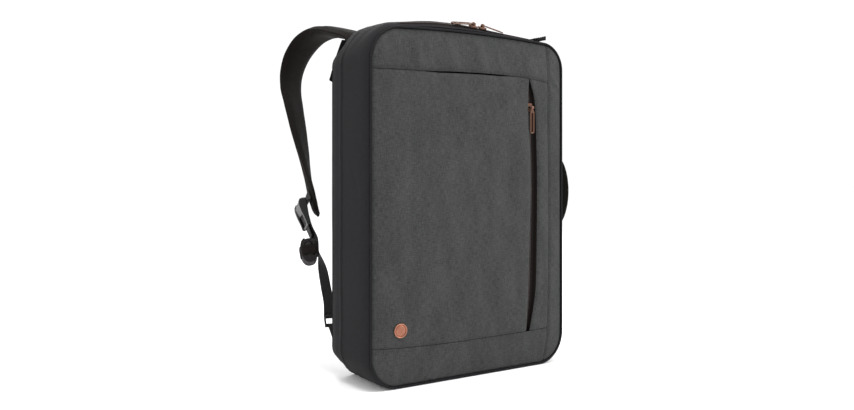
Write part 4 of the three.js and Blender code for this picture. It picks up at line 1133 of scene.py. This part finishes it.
def make_end_tab():
    """Folded cloth tab past the zip's end: two layers that part towards its free end."""
    low, high = (Vector(corner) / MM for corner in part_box("zip_end_tab"))

    def layer(upper):
        def place(t, s):
            rise = mix(0.9, 5.5, t ** 1.2) if upper else mix(0.15, -0.2, t)
            z = low.z + mix(0.6, 0.5, t) + rise + 0.25 * math.sin(s * 5 + upper) * t
            return Vector((mix(low.x, high.x, t), mix(low.y, high.y, s), z))
        return surface(14, 10, place)

    under, over = layer(0), layer(1)
    rows = [below + above[::-1] for below, above in zip(under, over)]
    obj = turned_out(grid_object("zip_end_tab_cloth", rows, wrap=True, caps=True))
    modify(obj, "BEVEL", width=0.5 * MM, segments=3, limit_method="ANGLE")
    dress(finished(obj), "nylon", "gusset_nylon", "zip_end_tab")
    up = Vector((0, 0, 1))
    paths = [[(over[round(14 * t)][column] + up * 0.3, up) for t in np.linspace(0.1, 0.95, 12)]
             for column in (1, 9)]
    stitches("end_tab_stitches", paths, "black_thread", "gusset_nylon")


# Zips

# The coil's two edges: how far beside the tape's middle and above it, and a turn's width and height
COIL_ASIDE = 0.75
COIL_PROUD = 0.35
COIL_WIDTH = 2.2
COIL_HEIGHT = 1.5


def sew_zip(name, rows, coils, uvs, flip=False):
    """A zip's tape, and one bead of coil for each turn along its two edges."""
    tape = thick(grid_object(name + "_tape", rows, uvs, flip=flip), TAPE_THICKNESS - 0.3)
    dress(tape, "tape", "zip_tape", name)
    pitch = sizes().coil_pitch / MM
    coil = pieces_along(name + "_coil", coils, pitch, 0.68 * pitch, COIL_WIDTH, COIL_HEIGHT, finish("coil"))
    dress(coil, "coil", "zip_tape")


def make_main_zip():
    """The tape follows the top's slope in the gusset's slot."""
    half = ZIP_WIDTH / 2 - CLEARANCE
    length = ZIP_SPAN - 2 * CLEARANCE

    def place(along, share):
        x, across = mix(-length / 2, length / 2, along), mix(-half, half, share)
        y = FRONT_SEAM + ZIP_SETBACK + across
        rib = 0.35 * math.exp(-(across / 2.0) ** 2)
        return Vector((x, y, top_height(x, y) - CLOTH_WALL / 3 + rib))

    rows = surface(120, 14, place)
    coils = [], []
    for line in rows:
        aside = (line[9] - line[5]).normalized()
        out = Vector((1, 0, 0)).cross(aside).normalized()
        for coil, side in zip(coils, (-1, 1)):
            coil.append((line[7] + out * COIL_PROUD + aside * side * COIL_ASIDE, out))
    sew_zip("main_zip", rows, coils, [[p.yx * MM for p in line] for line in rows], flip=True)


def make_front_zip():
    """The tape lies deep in the gape and comes up to the front's cloth at its two edges."""
    low = bottom_seam(front_zip_line(panel_z(0.104))) + CLEARANCE
    high = top_seam(front_zip_line(panel_z(0.884))) - CLEARANCE
    half = FRONT_ZIP_WIDTH / 2
    sewn = 0.7 * half

    def place(up, share):
        z = mix(low, high, up)
        across = mix(-1, 1, share) * half
        middle = front_zip_line(z)
        seat = front_face(middle + across, z) + CLOTH_WALL + 2 * CLEARANCE
        deep = front_face(middle, z) + CLOTH_WALL + FRONT_ZIP_DEPTH
        return Vector((middle + across, mix(deep, seat, step(sewn - 2.5, sewn + 0.5, abs(across))), z))

    rows = surface(140, 30, place)
    coils = [[(line[15] + Vector((side * COIL_ASIDE, -0.5, 0)), Vector((0, -1, 0))) for line in rows]
             for side in (-1, 1)]
    sew_zip("front_zip", rows, coils, [[p.xz * MM for p in line] for line in rows])


def make_zips():
    """The main zip along the top and the front zip in its gape."""
    make_main_zip()
    make_front_zip()


# Metalwork

# A pull's sunk middle: its depth and half width, and where it ends short of the eye and of the tip
PULL_SUNK = 0.42
PULL_INNER = 2.0
PULL_EYE = 9
PULL_TIP = 1.6


def sink_middle(obj):
    """Sinks the middle of a pull's two faces, so that a rim stands round it."""
    count = len(obj.data.vertices)
    flat = np.empty(count * 3)
    obj.data.vertices.foreach_get("co", flat)
    points = flat.reshape(count, 3) / MM
    # The pull's length, width and thickness are its points' main directions
    centred = points - points.mean(axis=0)
    _, _, axes = np.linalg.svd(centred, full_matrices=False)
    along, across, through = (centred @ axis for axis in axes)
    along, across, through = (v - (v.max() + v.min()) / 2 for v in (along, across, through))
    # The eye is the end where the pull is thickest
    half = along.max()
    eye = 1 if np.abs(through[along > half - 4]).max() > np.abs(through[along < 4 - half]).max() else -1
    from_eye, from_tip = half - eye * along, half + eye * along
    leaf = np.clip((from_eye - PULL_EYE) / 2.0, 0, 1) * np.clip(from_tip - PULL_TIP, 0, 1)
    middle = np.clip((PULL_INNER - np.abs(across)) / 0.6, 0, 1) * leaf
    points -= np.outer(np.sign(through) * middle * PULL_SUNK * (np.abs(through) > 0.25), axes[2])
    obj.data.vertices.foreach_set("co", (points * MM).ravel())
    hollow = obj.data.attributes.new("hollow", "FLOAT", "POINT")
    hollow.data.foreach_set("value", middle)
    obj.data.update()
    return obj


def make_metal():
    """Cast sliders and pulls, and the rivet."""
    for node in ("front_slider", "slider_left", "slider_right"):
        dress(softened(node + "_cast", node, 0.32, 4), "copper", "copper", node)
    for node in ("front_pull", "zip_pull_left", "zip_pull_right"):
        pull = sink_middle(softened(node + "_cast", node, 0.24, 4))
        dress(pull, "copper", "copper", node, body=node)
    make_rivet()


# Half of the rivet's section: share of the radius, share of the height
RIVET_PROFILE = [(0.2, 0.99), (0.4, 0.94), (0.55, 0.86), (0.66, 0.74), (0.74, 0.60), (0.78, 0.50),
                 (0.81, 0.52), (0.85, 0.70), (0.90, 0.80), (0.95, 0.76), (0.985, 0.62), (1.0, 0.42),
                 (1.0, 0.12), (0.98, 0)]
RIVET_RADIUS = 9
RIVET_HEIGHT = 2.4


def make_rivet():
    """Stamped rivet: a rolled rim, a fine groove and a low brushed dome."""
    x, z = -0.765 * HALF_WIDTH, panel_z(0.157)
    reach = 4
    slope_x = (front_face(x + reach, z) - front_face(x - reach, z)) / (2 * reach)
    slope_z = (front_face(x, z + reach) - front_face(x, z - reach)) / (2 * reach)
    normal = Vector((slope_x, -1, slope_z)).normalized()
    across = normal.cross(Vector((0, 0, 1))).normalized()
    up = across.cross(normal)
    centre = Vector((x, front_face(x, z), z)) + normal * 0.2
    rows = []
    for share, rise in RIVET_PROFILE:
        level = centre + normal * RIVET_HEIGHT * rise
        rows.append([level + (across * c + up * s) * RIVET_RADIUS * share for c, s in circle(64)])
    dress(closed("front_rivet_cap", rows, 60), "rivet", "copper", "front_rivet")


# Straps and webbing

SIDES = ((-1, "left"), (1, "right"))


def strap_point(row, side):
    """A place given by shares: out of the half width, back of the strap's reach, up of the top."""
    out, back, up = row[:3]
    return Vector((side * out * HALF_WIDTH, BACK_SEAM + back * STRAP_REACH, up * PANEL_TOP))


def level_across(turn, side):
    """The level direction across a strap that is turned by an angle."""
    return Vector((math.cos(math.radians(turn)), -side * math.sin(math.radians(turn)), 0))


def hanging_axes(place, side):
    """Across, out and up of hardware that hangs turned and leaning."""
    turn, lean = place[3], math.radians(place[4])
    up = Vector((0, math.sin(lean), math.cos(lean)))
    across = level_across(turn, side)
    across = (across - up * across.dot(up)).normalized()
    return across, up.cross(across), up


def curve_through(rows, steps):
    """More rows between given ones of (point, across, wide, thick), on a smooth curve."""
    def at(i):
        return rows[min(max(i, 0), len(rows) - 1)]

    result = []
    for i in range(len(rows) - 1):
        for k in range(steps):
            t = k / steps
            weights = (-0.5 * t + t * t - 0.5 * t ** 3, 1 - 2.5 * t * t + 1.5 * t ** 3,
                       0.5 * t + 2 * t * t - 1.5 * t ** 3, -0.5 * t * t + 0.5 * t ** 3)
            near = [at(i + n) for n in (-1, 0, 1, 2)]
            point = sum((row[0] * w for row, w in zip(near, weights)), Vector())
            across = sum((row[1] * w for row, w in zip(near, weights)), Vector())
            wide = mix(near[1][2], near[2][2], step(0, 1, t))
            deep = mix(near[1][3], near[2][3], step(0, 1, t))
            result.append((point, across, wide, deep))
    result.append(rows[-1])
    return result


def swept(rows, section):
    """Sections square to a path. section gives (across, through) in millimetres for a row."""
    lines = []
    for i, (point, across, wide, deep) in enumerate(rows):
        before, after = rows[max(i - 1, 0)][0], rows[min(i + 1, len(rows) - 1)][0]
        ahead = (after - before).normalized()
        side = (across - ahead * across.dot(ahead)).normalized()
        through = ahead.cross(side)
        lines.append([point + side * a + through * b for a, b in section(i, wide, deep)])
    return lines


# A pad's edge: height of its binding, the seam's share of that height, and how far the seam lies in
BINDING = 1.7
PINCH = 0.72
SEAM_INSET = 3.0


def padded_section(count, seam=3.2, edge=BINDING):
    """A foam pad between two bound edges: crowned, pinched at the seams, with a rounded binding."""
    def section(index, wide, deep):
        places = [math.cos(math.pi * k / (count - 1)) * wide / 2 for k in range(count)]
        top = [(a, pad_height(a, wide / 2, deep / 2, seam, edge)) for a in places]
        return top + [(a, -h) for a, h in top[::-1][1:-1]]
    return section


def pad_height(a, half, most, seam, edge):
    """Half the pad's thickness at a place across it."""
    inner = max(half - seam, 0.1)
    rim = min(edge, most)
    if abs(a) < inner:
        return max(rim * PINCH, mix(rim * PINCH, most, (1 - (abs(a) / inner) ** 4) ** 0.6))
    t = (abs(a) - inner) / max(half - inner, 1e-6)
    if t > 0.45:
        return rim * math.sqrt(max(1 - ((t - 0.45) / 0.55) ** 2, 0))
    return rim * mix(PINCH, 1, step(0, 0.45, t))


def pad_stitches(name, rows, height, first, slot):
    """Stitches along both edges of a pad, on both faces. height is the seam's for a pad's thickness."""
    seams = swept(rows, lambda i, wide, deep: [
        (side * (wide / 2 - SEAM_INSET), face * height(deep)) for side in (-1, 1) for face in (-1, 1)])
    middle = swept(rows, lambda i, wide, deep: [(0, 0)])
    paths = []
    for k in range(4):
        run = []
        for i in range(first, len(rows) - 5):
            across = (seams[i][2] - seams[i][0]).normalized()
            out = seams[i][k] - middle[i][0]
            run.append((seams[i][k], (out - across * out.dot(across)).normalized()))
        paths.append(run)
    stitches(name, paths, "black_thread", slot)


def strap_rows(side):
    """The strap from its foot under the flap to its lower tip: point, across, wide, thick."""
    x = side * STRAP_ROWS[0][0] * HALF_WIDTH
    rows = []
    for share in STRAP_FEET:
        z = FLAP_TOP - share * FLAP_DROP
        deep = 0.5 * STRAP_PADDING
        y = flap_inner(x, z) + CLOTH_WALL + CLEARANCE + deep / 2 + 0.6
        rows.append((Vector((x, y, z)), Vector((1, 0, 0)), 0.82 * STRAP_WIDTH, deep))
    for row in STRAP_ROWS:
        turn, wide, thickness = row[3:]
        rows.append((strap_point(row, side), level_across(turn, side), wide * STRAP_WIDTH,
                     thickness * STRAP_PADDING))
    return rows


def make_straps():
    """Both padded straps, with cross folds where they bend."""
    plain = padded_section(17)
    for side, name in SIDES:
        rows = curve_through(strap_rows(side), 8)

        def creased(index, wide, deep):
            # Shallow cross folds on the inside of the arch, where the foam is bent
            bent = bump(index / len(rows), 0.42, 0.16)
            ripple = bent * 0.5 * math.sin(index * 0.95) + 0.25 * math.sin(index * 0.31)
            return [(a, b + (ripple if b < 0 else 0.3 * ripple) * (1 - abs(2 * a / wide) ** 3))
                    for a, b in plain(index, wide, deep)]

        strap = f"shoulder_strap_{name}"
        obj = dress(closed(strap + "_pad", swept(rows, creased), 70), "strap", "strap_fabric", strap)
        pad_stitches(strap + "_stitches", rows, lambda deep: min(BINDING, deep / 2) * PINCH + 0.18, 6,
                     "strap_fabric")


FOLD_RADIUS = LOOP_BAR + CLEARANCE + WEBBING_THICKNESS / 2


def folded_rows(centre, axes, start, end, steps):
    """Webbing folded round a bar, from one angle to another in degrees."""
    across, out, up = axes
    rows = []
    for i in range(steps + 1):
        angle = math.radians(mix(start, end, i / steps))
        point = centre + (out * math.cos(angle) + up * math.sin(angle)) * FOLD_RADIUS
        rows.append(webbing_row(point, across))
    return rows


def strip_section(index, wide, deep):
    """Webbing: flat faces and rounded selvedges."""
    half, thin = wide / 2, deep / 2
    inner = half - thin
    face = [(mix(inner, -inner, k / 6), thin) for k in range(7)]
    angles = [math.pi * k / 6 for k in range(1, 6)]
    top = face + [(-inner - thin * math.sin(a), thin * math.cos(a)) for a in angles]
    return top + [(-a, -b) for a, b in top]


def webbing_strip(name, rows, *nodes):
    """A strip of ribbed webbing with its ribs' map along its length."""
    lines = swept(curve_through(rows, 4), strip_section)
    dress(closed(name, lines, 60), "webbing", "webbing", *nodes)


def bar_heights():
    """Heights of the buckle's three bars over its middle."""
    return [share * (BUCKLE_HEIGHT - BUCKLE_THICKNESS) for share in (0.5, 0.02, -0.5)]


def webbing_row(point, across):
    """One row of a strip of webbing."""
    return point, across.copy(), WEBBING_WIDTH, WEBBING_THICKNESS


def make_webbing():
    """Folds, adjusting webbing, rolls and tabs of both straps."""
    for side, name in SIDES:
        make_buckle_fold(name, side)
        bundle_axes = hanging_axes(BUNDLE_PLACE, side)
        reach = (ROLL_THICKNESS + WEBBING_THICKNESS) / 2 + ROLL_GAP
        bundle_at = strap_point(BUNDLE_PLACE, side) + bundle_axes[1] * reach
        make_lower_webbing(name, side, bundle_at, bundle_axes)
        make_bundle(name, bundle_at, bundle_axes)
        make_lower_tab(name, side)


def buckle_bars(side):
    """The middles of a buckle's three bars, from the highest."""
    up = hanging_axes(BUCKLE_PLACE, side)[2]
    return [strap_point(BUCKLE_PLACE, side) + up * height for height in bar_heights()]


def make_buckle_fold(name, side):
    """The fold of webbing round the buckle's upper bar, sewn to the strap's lower end."""
    axes = hanging_axes(BUCKLE_PLACE, side)
    across, out = axes[:2]
    seat = []
    for row in (STRAP_ROWS[-2], STRAP_ROWS[-3]):
        off = row[5] * STRAP_PADDING / 2 + CLEARANCE + WEBBING_THICKNESS / 2 + SEAT_GAP
        seat.append(strap_point(row, side) + out * off)
    rows = folded_rows(buckle_bars(side)[0], axes, 60, -170, 10)
    rows += [webbing_row(seat[0].lerp(seat[1], share), across) for share in FOLD_LANDING]
    webbing_strip(f"buckle_fold_{name}_webbing", rows, f"buckle_fold_{name}")


def make_lower_webbing(name, side, bundle_at, bundle_axes):
    """The adjusting webbing: from the roll up round the middle bar, and down to the loop."""
    axes = hanging_axes(BUCKLE_PLACE, side)
    across, out, up = axes
    bars = buckle_bars(side)
    # The spare end runs down close to the webbing, into the roll's inner side
    roll_top = bundle_at + bundle_axes[2] * (ROLL_HEIGHT / 2 + ROLL_SEAT)
    rows = [webbing_row(roll_top - bundle_axes[1] * (ROLL_THICKNESS / 2 - 1), bundle_axes[0])]
    rows += folded_rows(bars[1], axes, -20, 200, 10)
    under_bar = bars[2] - out * (FOLD_RADIUS + WEBBING_SLACK) - up * FOLD_RADIUS
    rows.append(webbing_row(under_bar, across))
    rows += [webbing_row(strap_point(row, side), level_across(row[3], side)) for row in WEBBING_ROWS]
    loop_axes = hanging_axes(LOOP_PLACE, side)
    loop_top = strap_point(LOOP_PLACE, side) + loop_axes[2] * (LOOP_HEIGHT / 2)
    rows += folded_rows(loop_top, loop_axes, 30, -210, 10)
    webbing_strip(f"lower_webbing_{name}_strip", rows, f"lower_webbing_{name}")


def make_lower_tab(name, side):
    """The tab from the loop's lower wire to the back's lower corner."""
    axes = hanging_axes(LOOP_PLACE, side)
    loop_foot = strap_point(LOOP_PLACE, side) - axes[2] * (LOOP_HEIGHT / 2)
    rows = folded_rows(loop_foot, axes, -30, 190, 9)
    for out_share, up_share in TAB_FOOT:
        x, z = out_share * HALF_WIDTH, up_share * PANEL_TOP
        under = max(back_face(x - WEBBING_WIDTH / 2, z), BACK_SEAM + PIPING_RADIUS)
        foot = Vector((side * x, under + CLEARANCE + WEBBING_THICKNESS / 2, z))
        rows.append(webbing_row(foot, Vector((1, 0, 0))))
    webbing_strip(f"lower_tab_{name}_strip", rows, f"lower_tab_{name}")


# Corners of the roll's core, as shares across and out
CORE_CORNERS = ((-1, -0.7), (-0.9, -1), (0.9, -1), (1, -0.7), (1, 0.7), (0.9, 1), (-0.9, 1), (-1, 0.7))
ROLL_LAYER = 1.9
BAND_RINGS = ((0.97, -6.5), (1.0, -6.2), (1.015, 0), (1.0, 6.2), (0.97, 6.5))


def squared(value, power):
    """A cosine or sine pushed out towards a square's side."""
    return math.copysign(abs(value) ** power, value)


def make_bundle(name, at, axes):
    """Spare webbing rolled on itself against the webbing it hangs from, with a band round its middle."""
    across, out, up = axes
    bundle = f"webbing_bundle_{name}"
    # The real roll lies against the webbing, so its inner side is thicker than the frame's solid
    inward = ROLL_GAP - 2 * CLEARANCE
    at = at - out * inward / 2
    turns = sizes().roll_turns
    full_deep = (ROLL_THICKNESS + inward - WEBBING_THICKNESS) / 2
    rows = []
    count = 110
    for i in range(count + 1):
        angle = math.tau * turns * i / count + 0.25
        inset = ROLL_LAYER * turns * i / count
        tall = (ROLL_HEIGHT - WEBBING_THICKNESS) / 2 - inset
        point = at + up * tall * squared(math.cos(angle), 0.8)
        point += out * (full_deep - inset) * squared(math.sin(angle), 0.8)
        rows.append((point, across.copy(), WEBBING_WIDTH, WEBBING_THICKNESS * 1.15))
    dress(closed(bundle + "_roll", swept(rows, strip_section), 60), "webbing", "webbing", bundle)

    # A core fills the roll's middle, where the inner turns are folded flat
    half_wide, half_deep = WEBBING_WIDTH / 2 - 0.8, max(full_deep - 5, 1)
    rows = []
    for share in (-1, -0.8, -0.4, 0, 0.4, 0.8, 1):
        middle = at + up * share * (ROLL_HEIGHT / 2 - 6)
        deep = half_deep * max((1 - abs(share) ** 3) ** 0.5, 0.35)
        rows.append([middle + across * a * half_wide + out * b * deep for a, b in CORE_CORNERS])
    dress(closed(bundle + "_core", rows, 60), "webbing", "webbing")

    wide, deep = WEBBING_WIDTH / 2 + 1.0, full_deep + WEBBING_THICKNESS
    band = [across * wide * squared(c, 0.35) + out * deep * squared(s, 0.5) for c, s in circle(40)]
    rings = [[at + spoke * grow + up * height for spoke in band] for grow, height in BAND_RINGS]
    ring = turned_out(grid_object(bundle + "_band", rings, wrap=True))
    dress(thick(ring, 0.7, angle=60), "strap", "webbing")


# Side view of the ladder lock's cheek: out from the bag and up, in millimetres
CHEEK = [(-2.2, -18.0), (-1.2, -19.0), (1.4, -19.0), (2.8, -17.5), (4.2, -10.0), (7.4, 1.0), (9.0, 9.0),
         (8.8, 14.5), (6.8, 18.2), (3.4, 19.0), (-1.4, 19.0), (-2.2, 18.0)]
TAB_ROWS = [(4.6, -1.0), (6.2, 3.0), (7.6, 7.6), (8.3, 11.0), (7.9, 14.0), (6.6, 16.6), (5.0, 17.6)]


def make_ladder_lock(name, side):
    """Moulded ladder lock: two deep cheeks, three bars and the thumb plate between the cheeks."""
    across, out, up = hanging_axes(BUCKLE_PLACE, side)
    at = strap_point(BUCKLE_PLACE, side)
    half_span = WEBBING_WIDTH / 2 + CLEARANCE + WEBBING_SLACK / 2
    # Bars and plate run a little way into the cheeks
    reach = half_span + 0.5
    middle = Vector((2.5, 0))
    parts = []
    for sign in (-1, 1):
        layers = []
        for share_in, grow in ((0, 0.95), (0.6, 1), (BUCKLE_RAIL - 0.6, 1), (BUCKLE_RAIL, 0.95)):
            spots = [middle + (Vector(spot) - middle) * grow for spot in CHEEK]
            face = at + across * sign * (half_span + share_in)
            layers.append([face + out * spot.x + up * spot.y for spot in spots])
        parts.append(layers)
    for bar in buckle_bars(side):
        parts.append([[bar + across * end * reach + (up * s + out * c) * LOOP_BAR for c, s in circle(12)]
                      for end in (-1, 1)])
    outer = [Vector(spot) for spot in TAB_ROWS]
    inner = [spot - Vector((1.9, 0.4)) for spot in outer]
    parts.append([[at + across * end * reach + out * spot.x + up * spot.y for spot in outer + inner[::-1]]
                  for end in (-1, -0.5, 0, 0.5, 1)])
    work = bmesh.new()
    for rows in parts:
        part = turned_out(grid_object("part", rows, wrap=True, caps=True))
        work.from_mesh(part.data)
        bpy.data.objects.remove(part)
    mesh = bpy.data.meshes.new(f"buckle_{name}_moulding")
    work.to_mesh(mesh)
    work.free()
    obj = round_off(placed(mesh.name, mesh), 0.45, 4)
    dress(obj, "buckle", "buckle_plastic", f"buckle_{name}")


def make_buckles():
    """Ladder locks and the loops of round plastic under them."""
    for side, name in SIDES:
        make_ladder_lock(name, side)
        loop = softened(f"lower_loop_{name}_moulding", f"lower_loop_{name}", 0.4, 4)
        dress(loop, "loop", "buckle_plastic", f"lower_loop_{name}")


# Handle

def make_handle():
    """Padded handle between its two sewn patches."""
    wall = HALF_WIDTH + SIDE_SWELL + CLEARANCE
    base = Vector((wall, FRONT_SEAM + HANDLE_SETBACK, HANDLE_HEIGHT))
    ends = (HANDLE_SPAN - HANDLE_THICKNESS) / 2
    foot = PATCH_THICKNESS + CLEARANCE
    reach = HANDLE_REACH - HANDLE_THICKNESS / 2 - foot
    rows = []
    count = 72
    for i in range(count + 1):
        along = i / count
        angle = math.pi * along
        point = base + Vector((foot + reach * math.sin(angle) ** 0.9, 0, -ends * math.cos(angle)))
        rows.append((point, Vector((0, 1, 0)), HANDLE_WIDE(along) * HANDLE_WIDTH,
                     HANDLE_THICK(along) * HANDLE_THICKNESS))
    plain = padded_section(15, seam=3.0, edge=1.6)

    def creased(index, wide, deep):
        ripple = 0.35 * math.sin(index * 1.1) * bump(index / count, 0.5, 0.3)
        return [(a, b + (ripple if b > 0 else 0)) for a, b in plain(index, wide, deep)]

    lines = swept(rows, creased)
    for p in lines[0] + lines[-1]:
        p.x = wall + foot
    obj = dress(closed("carry_handle_pad", lines, 70), "handle", "handle_fabric", "carry_handle")
    pad_stitches("carry_handle_stitches", rows, lambda deep: 1.45, 5, "handle_fabric")
    for node in ("handle_patch_low", "handle_patch_high"):
        make_patch(node)


def make_patch(node):
    """Patch of webbing under the handle's end, sewn round its rim."""
    low, high = (Vector(corner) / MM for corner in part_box(node))

    def place(s, t):
        away = min(s * 34, (1 - s) * 34, t * 30, (1 - t) * 30)
        sunk = 0.5 * math.exp(-(away / 1.2) ** 2)
        return Vector((high.x - 0.2 - sunk, mix(low.y, high.y, t), mix(low.z, high.z, s)))

    rows = surface(20, 16, place)
    patch = grid_object(node + "_cloth", rows, [[p.yz * MM for p in row] for row in rows])
    dress(thick(patch, PATCH_THICKNESS - 0.8, 0.3), "webbing", "webbing", node)
    left, right, bottom, top = low.y + 3.5, high.y - 3.5, low.z + 3.5, high.z - 3.5
    corners = [(left, bottom), (right, bottom), (right, top), (left, top)]
    run = []
    for (y0, z0), (y1, z1) in zip(corners, corners[1:] + corners[:1]):
        run += [(Vector((high.x - 0.05, mix(y0, y1, t), mix(z0, z1, t))), Vector((1, 0, 0)))
                for t in np.linspace(0, 1, 8)[:-1]]
    stitches(node + "_stitches", [run + run[:1]], "black_thread", "webbing")


# Stage

# The camera as fitted to the photograph, and the lamps: name, place, size, watts
CAMERA_PLACE = (-0.692, -0.9295, 0.2673)
CAMERA_TURN = -35.03
CAMERA_LENS = 35.87
CAMERA_SHIFT = -0.0382
LAMPS = [
    ("Key", (1.5, -1.5, 1.6), 0.9, 32), ("Top", (-0.2, -0.3, 2.2), 1.0, 28),
    ("Rim", (-2.2, 1.2, 1.0), 1.2, 10), ("Back", (1.2, 2.2, 1.7), 1.2, 22),
]
LAMP_AIM = Vector((0, 0, 0.22))
FLOOR_REACH = 20000


def make_stage():
    """Camera, floor, white surroundings and lamps."""
    scene = bpy.context.scene
    scene.view_settings.view_transform = "Standard"
    data = bpy.data.cameras.new("Camera")
    data.sensor_width = 36
    data.lens = CAMERA_LENS
    data.shift_y = CAMERA_SHIFT
    camera = placed("Camera", data)
    camera.location = CAMERA_PLACE
    camera.rotation_euler = (math.radians(90), 0, math.radians(CAMERA_TURN))
    scene.camera = camera

    corners = surface(1, 1, lambda s, t: Vector((2 * t - 1, 2 * s - 1, 0)) * FLOOR_REACH)
    floor = grid_object("floor", corners)
    floor.data.materials.append(pale_floor())

    world = bpy.data.worlds.new("Studio")
    scene.world = world
    world.use_nodes = True
    back = world.node_tree.nodes["Background"]
    back.inputs["Color"].default_value = (1, 1, 1, 1)
    back.inputs["Strength"].default_value = 1.05

    for name, place, size, power in LAMPS:
        light = bpy.data.lights.new(name, "AREA")
        light.size = size
        light.energy = power
        lamp = placed(name, light)
        lamp.location = place
        lamp.rotation_euler = (LAMP_AIM - Vector(place)).to_track_quat("-Z", "Y").to_euler()


# Operators, panel and registration

class BACKPACK_OT_stage(bpy.types.Operator):
    """Camera, lamps and the white floor"""

    bl_idname = "backpack.stage"
    bl_label = "Stage"

    def execute(self, context):
        make_stage()
        return {"FINISHED"}


class BACKPACK_OT_front(bpy.types.Operator):
    """Pocket, top and bottom band, placket and side strip, with their topstitching"""

    bl_idname = "backpack.front"
    bl_label = "Front panel"

    def execute(self, context):
        make_front()
        return {"FINISHED"}


class BACKPACK_OT_gusset(bpy.types.Operator):
    """Both parts of the gusset with their dents, gathers and stitches"""

    bl_idname = "backpack.gusset"
    bl_label = "Gusset"

    def execute(self, context):
        make_gusset()
        return {"FINISHED"}


class BACKPACK_OT_piping(bpy.types.Operator):
    """Corded piping round the front and the back"""

    bl_idname = "backpack.piping"
    bl_label = "Piping"

    def execute(self, context):
        make_piping()
        return {"FINISHED"}


class BACKPACK_OT_back(bpy.types.Operator):
    """Padded mesh back with its stitched rim"""

    bl_idname = "backpack.back"
    bl_label = "Back"

    def execute(self, context):
        make_back()
        return {"FINISHED"}


class BACKPACK_OT_flap(bpy.types.Operator):
    """Flap over the strap pocket"""

    bl_idname = "backpack.flap"
    bl_label = "Flap"

    def execute(self, context):
        make_flap()
        return {"FINISHED"}


class BACKPACK_OT_end_tab(bpy.types.Operator):
    """Folded cloth tab past the main zip's end"""

    bl_idname = "backpack.end_tab"
    bl_label = "End tab"

    def execute(self, context):
        make_end_tab()
        return {"FINISHED"}


class BACKPACK_OT_zips(bpy.types.Operator):
    """Tapes and coils of the main zip and the front zip"""

    bl_idname = "backpack.zips"
    bl_label = "Zips"

    def execute(self, context):
        make_zips()
        return {"FINISHED"}


class BACKPACK_OT_metal(bpy.types.Operator):
    """Sliders, pulls and the rivet"""

    bl_idname = "backpack.metal"
    bl_label = "Metalwork"

    def execute(self, context):
        make_metal()
        return {"FINISHED"}


class BACKPACK_OT_straps(bpy.types.Operator):
    """Two padded straps with their bound and stitched edges"""

    bl_idname = "backpack.straps"
    bl_label = "Shoulder straps"

    def execute(self, context):
        make_straps()
        return {"FINISHED"}


class BACKPACK_OT_webbing(bpy.types.Operator):
    """Folds, adjusting webbing, tabs and the rolled spare ends"""

    bl_idname = "backpack.webbing"
    bl_label = "Webbing"

    def execute(self, context):
        make_webbing()
        return {"FINISHED"}


class BACKPACK_OT_buckles(bpy.types.Operator):
    """Ladder locks and lower loops"""

    bl_idname = "backpack.buckles"
    bl_label = "Buckles"

    def execute(self, context):
        make_buckles()
        return {"FINISHED"}


class BACKPACK_OT_handle(bpy.types.Operator):
    """Padded carry handle and its two sewn patches"""

    bl_idname = "backpack.handle"
    bl_label = "Handle"

    def execute(self, context):
        make_handle()
        return {"FINISHED"}


class BACKPACK_PT_pieces(bpy.types.Panel):
    """The backpack's pieces, sizes and colours"""

    bl_idname = "BACKPACK_PT_pieces"
    bl_label = "Backpack"
    bl_space_type = "VIEW_3D"
    bl_region_type = "UI"
    bl_category = "Backpack"

    def draw(self, context):
        column = self.layout.column()
        for piece in PIECES:
            column.operator(piece.bl_idname, text=piece.bl_label)
        for group in (context.scene.backpack_sizes, context.scene.backpack_colours):
            box = self.layout.box()
            for key in group.__annotations__:
                box.prop(group, key)


PIECES = (
    BACKPACK_OT_stage,
    BACKPACK_OT_front,
    BACKPACK_OT_gusset,
    BACKPACK_OT_piping,
    BACKPACK_OT_back,
    BACKPACK_OT_flap,
    BACKPACK_OT_end_tab,
    BACKPACK_OT_zips,
    BACKPACK_OT_metal,
    BACKPACK_OT_straps,
    BACKPACK_OT_webbing,
    BACKPACK_OT_buckles,
    BACKPACK_OT_handle,
)
CLASSES = (BackpackSizes, BackpackColours, *PIECES, BACKPACK_PT_pieces)


def register():
    """Makes the settings, the operators and the panel known."""
    for item in CLASSES:
        bpy.utils.register_class(item)
    bpy.types.Scene.backpack_sizes = PointerProperty(type=BackpackSizes)
    bpy.types.Scene.backpack_colours = PointerProperty(type=BackpackColours)


def unregister():
    """Takes them out again."""
    del bpy.types.Scene.backpack_colours
    del bpy.types.Scene.backpack_sizes
    for item in reversed(CLASSES):
        bpy.utils.unregister_class(item)


def main():
    """Builds every piece in order."""
    register()
    bpy.ops.backpack.stage()
    bpy.ops.backpack.front()
    bpy.ops.backpack.gusset()
    bpy.ops.backpack.piping()
    bpy.ops.backpack.back()
    bpy.ops.backpack.flap()
    bpy.ops.backpack.end_tab()
    bpy.ops.backpack.zips()
    bpy.ops.backpack.metal()
    bpy.ops.backpack.straps()
    bpy.ops.backpack.webbing()
    bpy.ops.backpack.buckles()
    bpy.ops.backpack.handle()
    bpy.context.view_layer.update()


if __name__ == "__main__":
    main()
